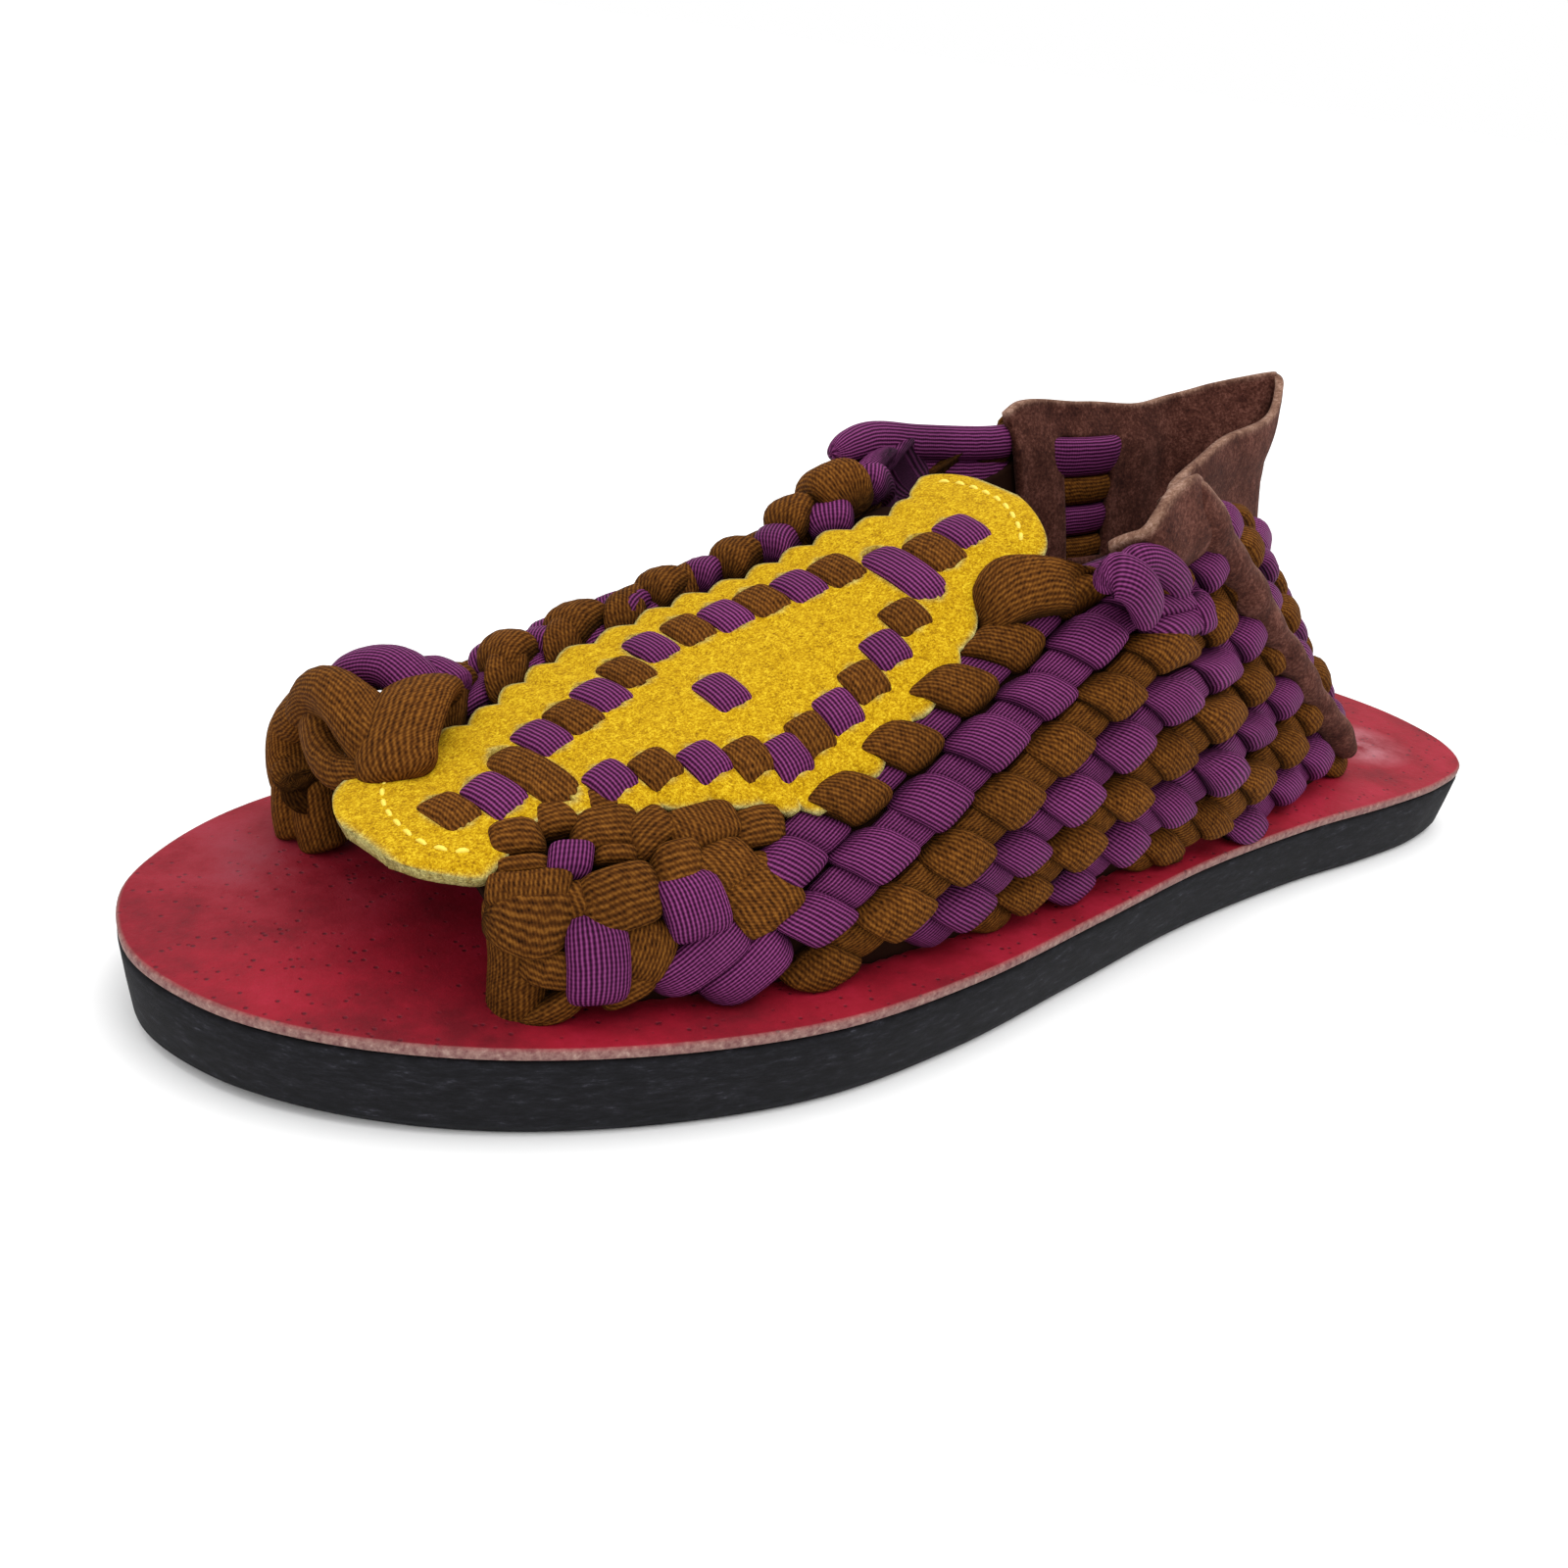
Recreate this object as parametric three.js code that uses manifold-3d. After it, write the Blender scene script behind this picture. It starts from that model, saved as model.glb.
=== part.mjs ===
// Woven slip-on sandal for the left foot, in millimetres.
// +X runs to the toe, +Y to the outer (lateral) side, +Z up. The origin lies on the ground,
// half way along the sole.
import * as THREE from 'three';
import Module from 'manifold-3d';
import { mergeVertices } from 'three/addons/utils/BufferGeometryUtils.js';

const wasm = await Module();
wasm.setup();

// Driving dimensions
const soleLength = 290;
const ballWidth = 103;
const soleThickness = 13.6;
const soleUndercut = 1.7;
const soleEdgeRound = 2.2;
const insoleThickness = 2;
const seatGap = 0.3;
const instepHeight = 60;
const collarHeight = 66;
const wallThickness = 4.2;
const stripRelief = 3;
const stripPitch = 6.3;
const rowPitch = 10.6;
const rowSlant = 8.9;
const panelThickness = 2;
const panelWidth = 54;
const panelClearance = 0.65;
const panelScallop = 1.1;
const centreWindow = 7.2;
const suedeThickness = 1.8;
const suedeClearance = 0.7;
const collarTube = 10;
const lacingTube = 8.5;
const toeRoll = 11;

const insoleBottom = soleThickness + seatGap;
const insoleTop = insoleBottom + insoleThickness;
const footLevel = insoleTop + seatGap;

// Outline of the sole: at = share of the length from the heel, the rest shares of the ball width
const soleOutline = [
  { at: 0.000, lateral: 0.140, medial: -0.030 },
  { at: 0.012, lateral: 0.262, medial: 0.105 },
  { at: 0.040, lateral: 0.352, medial: 0.222 },
  { at: 0.090, lateral: 0.392, medial: 0.312 },
  { at: 0.160, lateral: 0.404, medial: 0.358 },
  { at: 0.250, lateral: 0.403, medial: 0.355 },
  { at: 0.380, lateral: 0.428, medial: 0.293 },
  { at: 0.500, lateral: 0.481, medial: 0.290 },
  { at: 0.620, lateral: 0.531, medial: 0.389 },
  { at: 0.720, lateral: 0.534, medial: 0.464 },
  { at: 0.820, lateral: 0.464, medial: 0.472 },
  { at: 0.900, lateral: 0.353, medial: 0.415 },
  { at: 0.955, lateral: 0.224, medial: 0.319 },
  { at: 0.985, lateral: 0.102, medial: 0.223 },
];
const toeApex = { at: 1, side: -0.061 };

// Cross-sections of the vamp: at = share of the length from the heel; lateral, medial and ridge
// are shares of the ball width, high is a share of the instep height above the insole, and the
// two power columns give the roundness of the curve outward and inward of the ridge
const vampSections = [
  { at: 0.340, lateral: 0.400, medial: -0.276, ridge: -0.090, high: 1.020, powerOut: 4.0, powerIn: 3.0 },
  { at: 0.448, lateral: 0.408, medial: -0.272, ridge: -0.078, high: 1.000, powerOut: 4.0, powerIn: 3.0 },
  { at: 0.500, lateral: 0.422, medial: -0.282, ridge: -0.058, high: 0.960, powerOut: 3.6, powerIn: 3.0 },
  { at: 0.552, lateral: 0.437, medial: -0.301, ridge: -0.058, high: 0.870, powerOut: 3.2, powerIn: 3.0 },
  { at: 0.621, lateral: 0.456, medial: -0.340, ridge: -0.068, high: 0.718, powerOut: 2.9, powerIn: 3.0 },
  { at: 0.690, lateral: 0.451, medial: -0.369, ridge: -0.068, high: 0.592, powerOut: 2.7, powerIn: 3.0 },
  { at: 0.759, lateral: 0.422, medial: -0.379, ridge: -0.049, high: 0.492, powerOut: 3.0, powerIn: 3.0 },
  { at: 0.828, lateral: 0.369, medial: -0.340, ridge: 0.000, high: 0.392, powerOut: 3.6, powerIn: 3.0 },
  { at: 0.862, lateral: 0.320, medial: -0.311, ridge: 0.029, high: 0.342, powerOut: 4.0, powerIn: 3.0 },
  { at: 0.910, lateral: 0.300, medial: -0.300, ridge: 0.035, high: 0.300, powerOut: 4.0, powerIn: 3.0 },
];

// Ribs of the quarters and heel, from the outer side round the back to the inner side:
// footAt and rimAt are shares of the sole's length from the heel, footSide and rimSide shares of
// the ball width, rim a share of the collar's height above the insole
const heelRibs = [
  { footAt: 0.290, footSide: 0.350, rimAt: 0.466, rimSide: 0.330, rim: 0.860 },
  { footAt: 0.235, footSide: 0.325, rimAt: 0.425, rimSide: 0.300, rim: 0.910 },
  { footAt: 0.178, footSide: 0.285, rimAt: 0.385, rimSide: 0.245, rim: 0.945 },
  { footAt: 0.114, footSide: 0.195, rimAt: 0.345, rimSide: 0.178, rim: 0.960 },
  { footAt: 0.083, footSide: 0.078, rimAt: 0.298, rimSide: 0.080, rim: 0.925 },
  { footAt: 0.076, footSide: -0.010, rimAt: 0.210, rimSide: -0.040, rim: 0.935 },
  { footAt: 0.086, footSide: -0.107, rimAt: 0.123, rimSide: -0.135, rim: 0.970 },
  { footAt: 0.110, footSide: -0.184, rimAt: 0.078, rimSide: -0.260, rim: 1.070 },
  { footAt: 0.145, footSide: -0.233, rimAt: 0.125, rimSide: -0.360, rim: 1.030 },
  { footAt: 0.200, footSide: -0.272, rimAt: 0.197, rimSide: -0.385, rim: 0.975 },
  { footAt: 0.250, footSide: -0.286, rimAt: 0.270, rimSide: -0.385, rim: 0.985 },
  { footAt: 0.295, footSide: -0.284, rimAt: 0.345, rimSide: -0.370, rim: 0.985 },
  { footAt: 0.306, footSide: -0.278, rimAt: 0.425, rimSide: -0.320, rim: 0.940 },
];

// Leaf shape of the vamp panel: strip = place along it counted in cross strips from the toe; half
// width, axis (distance from the ridge), hole (a window's place beside the axis) and reach (half
// its length) are shares of the panel's width
const panelLeaf = [
  { strip: -0.55, half: 0.150, axis: 0.110, hole: 0.000, reach: 0.000 },
  { strip: -0.2, half: 0.262, axis: 0.110, hole: 0.000, reach: 0.000 },
  { strip: 0.3, half: 0.300, axis: 0.115, hole: 0.000, reach: 0.000 },
  { strip: 1, half: 0.296, axis: 0.130, hole: 0.000, reach: 0.090 },
  { strip: 2, half: 0.288, axis: 0.150, hole: 0.000, reach: 0.110 },
  { strip: 3, half: 0.322, axis: 0.175, hole: 0.000, reach: 0.185 },
  { strip: 4, half: 0.372, axis: 0.205, hole: 0.155, reach: 0.080 },
  { strip: 5, half: 0.415, axis: 0.235, hole: 0.195, reach: 0.080 },
  { strip: 6, half: 0.455, axis: 0.260, hole: 0.240, reach: 0.080 },
  { strip: 7, half: 0.485, axis: 0.280, hole: 0.290, reach: 0.080 },
  { strip: 8, half: 0.500, axis: 0.295, hole: 0.335, reach: 0.080 },
  { strip: 9, half: 0.490, axis: 0.300, hole: 0.315, reach: 0.080 },
  { strip: 10, half: 0.475, axis: 0.300, hole: 0.290, reach: 0.080 },
  { strip: 11, half: 0.445, axis: 0.300, hole: 0.265, reach: 0.080 },
  { strip: 12, half: 0.408, axis: 0.290, hole: 0.222, reach: 0.080 },
  { strip: 13, half: 0.360, axis: 0.275, hole: 0.175, reach: 0.080 },
  { strip: 14, half: 0.315, axis: 0.255, hole: 0.000, reach: 0.175 },
  { strip: 15, half: 0.290, axis: 0.240, hole: 0.000, reach: 0.110 },
  { strip: 16, half: 0.290, axis: 0.235, hole: 0.000, reach: 0.090 },
  { strip: 17, half: 0.322, axis: 0.225, hole: 0.000, reach: 0.000 },
  { strip: 18, half: 0.335, axis: 0.215, hole: 0.000, reach: 0.000 },
  { strip: 18.7, half: 0.270, axis: 0.210, hole: 0.000, reach: 0.000 },
  { strip: 19.1, half: 0.160, axis: 0.210, hole: 0.000, reach: 0.000 },
];

// Smooth reading of a table between its rows
function readTable(table, key, column, value) {
  const last = table.length - 1;
  let row = 0;
  while (row < last - 1 && value > table[row + 1][key]) row += 1;
  const low = table[row];
  const high = table[row + 1];
  const share = THREE.MathUtils.clamp((value - low[key]) / (high[key] - low[key]), 0, 1);
  const before = table[Math.max(row - 1, 0)];
  const after = table[Math.min(row + 2, last)];
  const span = high[key] - low[key];
  const startSlope = span * (high[column] - before[column]) / (high[key] - before[key]);
  const endSlope = span * (after[column] - low[column]) / (after[key] - low[key]);
  const squared = share * share;
  const cubed = squared * share;
  return (2 * cubed - 3 * squared + 1) * low[column] + (cubed - 2 * squared + share) * startSlope
    + (3 * squared - 2 * cubed) * high[column] + (cubed - squared) * endSlope;
}

const fromHeel = (share) => share * soleLength - soleLength / 2;

const outlineSteps = 68;
const toeBevelAt = 0.86;

// Outline of the sole as a closed ring of points, toe first, then the lateral side
function outlineRing(inset, toeInset, level) {
  const lateral = soleOutline.map((row) => new THREE.Vector3(fromHeel(row.at), row.lateral * ballWidth, 0));
  const medial = soleOutline.map((row) => new THREE.Vector3(fromHeel(row.at), -row.medial * ballWidth, 0));
  const toe = new THREE.Vector3(fromHeel(toeApex.at), toeApex.side * ballWidth, 0);
  const curve = new THREE.CatmullRomCurve3([toe, ...lateral.reverse(), ...medial], true, 'centripetal');
  const ring = [];
  for (let step = 0; step < outlineSteps; step += 1) {
    const point = curve.getPoint(step / outlineSteps);
    const tangent = curve.getTangent(step / outlineSteps);
    const inward = new THREE.Vector3(-tangent.y, tangent.x, 0);
    const forward = THREE.MathUtils.smoothstep(point.x, fromHeel(toeBevelAt), fromHeel(1));
    point.addScaledVector(inward, inset + toeInset * forward);
    point.z = level;
    ring.push(point);
  }
  return ring;
}

// Closed body from a stack of rings of equal count, bottom first, each ring anticlockwise from above
function stackRings(rings) {
  const count = rings[0].length;
  const points = rings.flat();
  const faces = [];
  const flat = rings[0].map((point) => new THREE.Vector2(point.x, point.y));
  const reversed = THREE.ShapeUtils.area(flat) < 0;
  const add = (a, b, c) => faces.push(...(reversed ? [a, c, b] : [a, b, c]));
  for (let level = 0; level < rings.length - 1; level += 1) {
    for (let step = 0; step < count; step += 1) {
      const next = (step + 1) % count;
      const a = level * count + step;
      const b = level * count + next;
      add(a, b, b + count);
      add(a, b + count, a + count);
    }
  }
  const cap = THREE.ShapeUtils.triangulateShape(flat, []);
  const topStart = (rings.length - 1) * count;
  for (const [a, b, c] of cap) {
    const turn = new THREE.Vector2().subVectors(flat[b], flat[a])
      .cross(new THREE.Vector2().subVectors(flat[c], flat[a])) > 0;
    const face = turn ? [a, b, c] : [a, c, b];
    faces.push(face[0], face[2], face[1]);
    faces.push(topStart + face[0], topStart + face[1], topStart + face[2]);
  }
  return geometryOf(points, faces);
}

function geometryOf(points, faces) {
  const geometry = new THREE.BufferGeometry();
  const positions = points.flatMap((point) => [point.x, point.y, point.z]);
  geometry.setAttribute('position', new THREE.Float32BufferAttribute(positions, 3));
  geometry.setIndex(faces);
  return geometry;
}

const sectionSteps = 40;

// Section of the vamp at one place along the foot, as a list of points from the ridge down
function sectionCurve(x, side) {
  const at = (x + soleLength / 2) / soleLength;
  const read = (column) => readTable(vampSections, 'at', column, at);
  const ridgeSide = read('ridge') * ballWidth;
  const footSide = read(side > 0 ? 'lateral' : 'medial') * ballWidth;
  const power = 2 / read(side > 0 ? 'powerOut' : 'powerIn');
  const high = read('high') * instepHeight;
  const curve = [];
  for (let step = 0; step <= sectionSteps; step += 1) {
    const angle = (1 - step / sectionSteps) * Math.PI / 2;
    const out = Math.max(Math.cos(angle), 0) ** power;
    const up = Math.max(Math.sin(angle), 0) ** power;
    curve.push(new THREE.Vector3(x, ridgeSide + (footSide - ridgeSide) * out, insoleTop + high * up));
  }
  return curve;
}

// Point of the vamp's outer face: arc is the distance from the ridge along the section, positive
// to the lateral side. Past the foot it goes straight down.
function vampPoint(x, arc) {
  const curve = sectionCurve(x, Math.sign(arc) || 1);
  let left = Math.abs(arc);
  for (let step = 1; step < curve.length; step += 1) {
    const length = curve[step].distanceTo(curve[step - 1]);
    if (left <= length) return curve[step - 1].clone().lerp(curve[step], left / length);
    left -= length;
  }
  const foot = curve[curve.length - 1].clone();
  foot.z -= left;
  return foot;
}

// Outward direction of the vamp at the same place
function vampNormal(x, arc) {
  const step = 1.5;
  const along = new THREE.Vector3().subVectors(vampPoint(x + step, arc), vampPoint(x - step, arc));
  const across = new THREE.Vector3().subVectors(vampPoint(x, arc + step), vampPoint(x, arc - step));
  return along.cross(across).normalize();
}

// Where the strips lie. Cross strips are counted from the toe; rows run lengthwise and are counted
// from the panel's edge down. The rows start at shares of the panel's width from the ridge.
const firstStripAt = 0.859;
const toeStrip = -1;
const toeEdgeStrip = 0.6;
const throatStrip = 17.5;
const widestStrip = 7;
const narrowingStrip = 9;
const slantStrips = 5;
const stripBow = 4;
const sideRows = 6;
const topCells = 6;
const rowStart = { toe: 0.537, ball: 0.907, throat: 0.722, medial: 0.278, medialSwell: 0.093 };

const stripTopX = (strip) => fromHeel(firstStripAt) - stripPitch * (Math.max(strip, toeEdgeStrip) - 1);
const stripLean = (strip) => THREE.MathUtils.clamp((strip - toeStrip) / slantStrips, 0, 1);

function lateralRowTop(strip) {
  const widening = THREE.MathUtils.smoothstep(strip, toeStrip, widestStrip);
  const narrowing = THREE.MathUtils.smoothstep(strip, narrowingStrip, throatStrip);
  const start = THREE.MathUtils.lerp(rowStart.toe, rowStart.ball, widening);
  return panelWidth * (start - narrowing * (rowStart.ball - rowStart.throat));
}

function medialRowTop(strip) {
  const swell = Math.sin(Math.PI * THREE.MathUtils.clamp(strip / throatStrip, 0, 1));
  return panelWidth * (rowStart.medial + rowStart.medialSwell * swell);
}

// One node of the vamp's weave: across runs from the lateral foot, over the ridge, to the medial foot
function vampNode(strip, across) {
  const lateralTop = lateralRowTop(strip);
  const medialTop = medialRowTop(strip);
  const lean = stripLean(strip);
  const top = stripTopX(strip) - stripBow * lean;
  if (across < sideRows) {
    const row = sideRows - across;
    return { x: top - rowSlant * lean * row, arc: lateralTop + rowPitch * row, row };
  }
  if (across > sideRows + topCells) {
    const row = across - sideRows - topCells;
    return { x: top - rowSlant * lean * row, arc: -medialTop - rowPitch * row, row };
  }
  const share = (across - sideRows) / topCells;
  const bow = stripBow * lean * (1 - (2 * share - 1) ** 2);
  return { x: top + bow, arc: THREE.MathUtils.lerp(lateralTop, -medialTop, share), row: null };
}

const seamHeight = 0.5;
const underHeight = 0.6;

// Height of the strips over the wall, for a place counted in strips and rows: a strip stands high
// where it passes over its neighbour and lower at the seams and where it passes under
function weaveRelief(strip, row) {
  if (row === null) return 0;
  const acrossStrip = THREE.MathUtils.lerp(seamHeight, 1, Math.abs(Math.cos(Math.PI * strip)));
  const acrossRow = Math.abs(Math.cos(Math.PI * row));
  const over = (Math.round(strip) + Math.round(row)) % 2 === 0 ? 1 : underHeight;
  return stripRelief * over * acrossStrip * acrossRow;
}

// Closed wall from an open net of outer points: the inner face lies one thickness below, and
// every free edge is closed with a strip
function thicken(outer, inner, quads) {
  const count = outer.length;
  const faces = [];
  const edges = new Map();
  const note = (a, b) => {
    const back = `${b},${a}`;
    if (edges.has(back)) edges.delete(back);
    else edges.set(`${a},${b}`, [a, b]);
  };
  for (const [a, b, c, d] of quads) {
    faces.push(a, b, c, a, c, d);
    faces.push(count + a, count + c, count + b, count + a, count + d, count + c);
    [[a, b], [b, c], [c, d], [d, a]].forEach(([from, to]) => note(from, to));
  }
  for (const [a, b] of edges.values()) faces.push(b, a, count + a, b, count + a, count + b);
  return geometryOf([...outer, ...inner], faces);
}

function solidOf(geometry) {
  const bare = geometry.clone();
  for (const name of Object.keys(bare.attributes)) if (name !== 'position') bare.deleteAttribute(name);
  const merged = mergeVertices(bare, 1e-4);
  return new wasm.Manifold(new wasm.Mesh({
    numProp: 3,
    vertProperties: new Float32Array(merged.attributes.position.array),
    triVerts: new Uint32Array(merged.index.array),
  }));
}

function geometryFrom(solid) {
  const mesh = solid.getMesh();
  const geometry = new THREE.BufferGeometry();
  geometry.setAttribute('position', new THREE.Float32BufferAttribute(mesh.vertProperties, 3));
  geometry.setIndex([...mesh.triVerts]);
  return geometry;
}

// Net of the whole woven wall. The vamp's columns run over the foot; the quarters' columns run
// round the heel and share their first and last column with the vamp's last one.
function wallNet() {
  const points = [];
  const raised = [];
  const quads = [];
  const acrossCount = 4 * sideRows + topCells;
  const acrossOf = (step) => {
    if (step <= 2 * sideRows) return step / 2;
    if (step <= 2 * sideRows + topCells) return step - sideRows;
    return (step + topCells) / 2;
  };
  const stripSteps = 2 * (throatStrip - toeStrip);
  for (let column = 0; column <= stripSteps; column += 1) {
    const strip = toeStrip + column / 2;
    for (let step = 0; step <= acrossCount; step += 1) {
      const node = vampNode(strip, acrossOf(step));
      points.push(vampPoint(node.x, node.arc));
      raised.push(weaveRelief(strip, node.row));
    }
  }
  const rowLength = acrossCount + 1;
  for (let column = 0; column < stripSteps; column += 1) {
    for (let step = 0; step < acrossCount; step += 1) {
      const a = column * rowLength + step;
      quads.push([a, a + rowLength, a + rowLength + 1, a + 1]);
    }
  }
  const guides = addQuarters(points, raised, quads, stripSteps * rowLength, acrossCount);
  return { points, raised, quads, guides };
}

// Rib curve from the foot (0) to the rim (1), with the foot carried on below the insole
function ribPoint(rib, share) {
  const foot = new THREE.Vector3(fromHeel(rib.footAt), rib.footSide * ballWidth, insoleTop);
  const rimLevel = insoleTop + rib.rim * collarHeight;
  const rim = new THREE.Vector3(fromHeel(rib.rimAt), rib.rimSide * ballWidth, rimLevel);
  return foot.lerp(rim, share);
}

function smoothRibs(place) {
  const rows = heelRibs.map((rib, index) => ({ ...rib, index }));
  const read = (column) => readTable(rows, 'index', column, place);
  return {
    footAt: read('footAt'),
    footSide: read('footSide'),
    rimAt: read('rimAt'),
    rimSide: read('rimSide'),
    rim: read('rim'),
  };
}

// Outward direction of the quarters, from the ribs on both sides
function quarterNormal(place, share) {
  const back = ribPoint(smoothRibs(place - normalReach), share);
  const front = ribPoint(smoothRibs(place + normalReach), share);
  const rib = smoothRibs(place);
  const up = new THREE.Vector3().subVectors(ribPoint(rib, 1), ribPoint(rib, 0));
  return new THREE.Vector3().subVectors(front, back).cross(up).normalize();
}

const normalReach = 0.36;
const weaveRimShare = 0.9;
const footOverrun = 0.12;
const quarterColumns = 35;

function ribOfColumn(column) {
  const share = THREE.MathUtils.clamp((column - 1) / (quarterColumns - 2), 0, 1);
  return share * (heelRibs.length - 1);
}

// Columns of the quarters, between the vamp's last column on the lateral side and on the medial side
function addQuarters(points, raised, quads, lastColumn, acrossCount) {
  const rows = 2 * sideRows;
  const guides = new Map();
  let previous = Array.from({ length: rows + 1 }, (_, row) => lastColumn + row);
  const medialColumn = previous.map((_, row) => lastColumn + acrossCount - row);
  for (let column = 1; column <= quarterColumns; column += 1) {
    let current = medialColumn;
    if (column < quarterColumns) {
      const rib = smoothRibs(ribOfColumn(column));
      current = previous.map((_, row) => points.length + row);
      for (let row = 0; row <= rows; row += 1) {
        const share = THREE.MathUtils.lerp(-footOverrun, weaveRimShare, row / rows);
        const inside = column > 1 && column < quarterColumns - 1;
        if (inside) guides.set(points.length, quarterNormal(ribOfColumn(column), share));
        points.push(ribPoint(rib, share));
        raised.push(weaveRelief(column / 2, row / 2));
      }
    }
    for (let row = 0; row < rows; row += 1) {
      quads.push([previous[row], current[row], current[row + 1], previous[row + 1]]);
    }
    previous = current;
  }
  return guides;
}

function netNormals(points, quads) {
  const normals = points.map(() => new THREE.Vector3());
  for (const [a, b, c, d] of quads) {
    const normal = new THREE.Vector3().subVectors(points[c], points[a])
      .cross(new THREE.Vector3().subVectors(points[d], points[b]));
    for (const index of [a, b, c, d]) normals[index].add(normal);
  }
  return normals.map((normal) => normal.normalize());
}

// Round tube along a list of points, with rounded ends
function tubeAlong(points, diameter) {
  const curve = new THREE.CatmullRomCurve3(points, false, 'centripetal');
  const circle = new THREE.Shape();
  circle.absarc(0, 0, diameter / 2, 0, 2 * Math.PI, false);
  const steps = Math.ceil(curve.getLength() / (diameter * tubeStep));
  const sweep = { steps, curveSegments: tubeSides / 2, bevelEnabled: false, extrudePath: curve };
  let solid = solidOf(new THREE.ExtrudeGeometry(circle, sweep));
  for (const end of [points[0], points[points.length - 1]]) {
    const cap = new THREE.SphereGeometry(diameter / 2, tubeSides, tubeSides / 2);
    solid = solid.add(solidOf(cap.translate(end.x, end.y, end.z)));
  }
  return solid;
}

const tubeSides = 10;
const tubeStep = 0.7;

// Rolls of strip along the wall's front edge, from the foot up to the panel: side is +1 for the
// outer side, forward is how far a roll stands before the wall's edge, top is where it ends, as a
// share of the panel's width from the ridge
const toeRolls = [
  { side: 1, forward: 0, top: 0.6 },
  { side: -1, forward: 3.5, top: 0.32 },
];

// Tubes along the collar: from and to are places counted in ribs, share is the height on the rib
const collarTubes = [
  { from: 0, to: 3.3, share: 0.86, diameter: collarTube },
  { from: 12, to: 8.8, share: 0.87, diameter: lacingTube },
  { from: 12, to: 8.8, share: 0.72, diameter: lacingTube },
];
const rollPoints = 7;

function toeRollSolid({ side, forward, top }) {
  const x = stripTopX(toeStrip) + forward;
  const curve = sectionCurve(x, side);
  const sectionLength = new THREE.CurvePath();
  curve.slice(1).forEach((point, index) => sectionLength.add(new THREE.LineCurve3(curve[index], point)));
  const foot = sectionLength.getLength() + toeRoll / 2;
  const points = Array.from({ length: rollPoints }, (_, index) => {
    const arc = side * THREE.MathUtils.lerp(foot, top * panelWidth, index / (rollPoints - 1));
    return vampPoint(x, arc).addScaledVector(vampNormal(x, arc), -wallThickness / 2);
  });
  return tubeAlong(points, toeRoll);
}

function collarTubeSolid({ from, to, share, diameter }) {
  const points = Array.from({ length: rollPoints }, (_, index) => {
    const place = THREE.MathUtils.lerp(from, to, index / (rollPoints - 1));
    const outward = diameter / 2 - wallThickness;
    return ribPoint(smoothRibs(place), share).addScaledVector(quarterNormal(place, share), outward);
  });
  return tubeAlong(points, diameter);
}

function makeUpper() {
  const { points, raised, quads, guides } = wallNet();
  const normals = netNormals(points, quads);
  guides.forEach((normal, index) => normals[index].copy(normal));
  const outer = points.map((point, index) => point.clone().addScaledVector(normals[index], raised[index]));
  const inner = points.map((point, index) => point.clone().addScaledVector(normals[index], -wallThickness));
  const rolls = [...toeRolls.map(toeRollSolid), ...collarTubes.map(collarTubeSolid)];
  const solid = rolls.reduce((sum, roll) => sum.add(roll), solidOf(thicken(outer, inner, quads)));
  return geometryFrom(solid.subtract(groundBlock()));
}

// Windows of the panel: half their width across the strip at the middle and at the tips, as shares
// of the strip pitch, and the least half length in millimetres
const windowHalf = 0.4;
const windowTip = 0.3;
const leastReach = 3.5;
const panelStrips = 16;
const centreStrip = 8;
const tabLines = [-0.55, -0.2, 0.3];
const tongueLines = [16.5, 17.2, 18, 18.7, 19.1];
const singleWindowShares = [0.25, 0.5, 0.8, 1];

const readPanel = (column, strip) => readTable(panelLeaf, 'strip', column, strip) * panelWidth;

// Places across the panel on one line, from its axis outward. Where a strip has a window on each
// side the list holds the centre window's end, the side window's tip, middle and tip, and the
// edge; elsewhere it holds four places along the single window and the edge.
function panelOffsets(strip, half) {
  const hole = readPanel('hole', strip);
  const reach = Math.max(readPanel('reach', strip), leastReach);
  if (hole > 0) return [centreWindow / 2, hole - reach, hole, hole + reach, half];
  return [...singleWindowShares.map((share) => share * reach), half];
}

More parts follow.
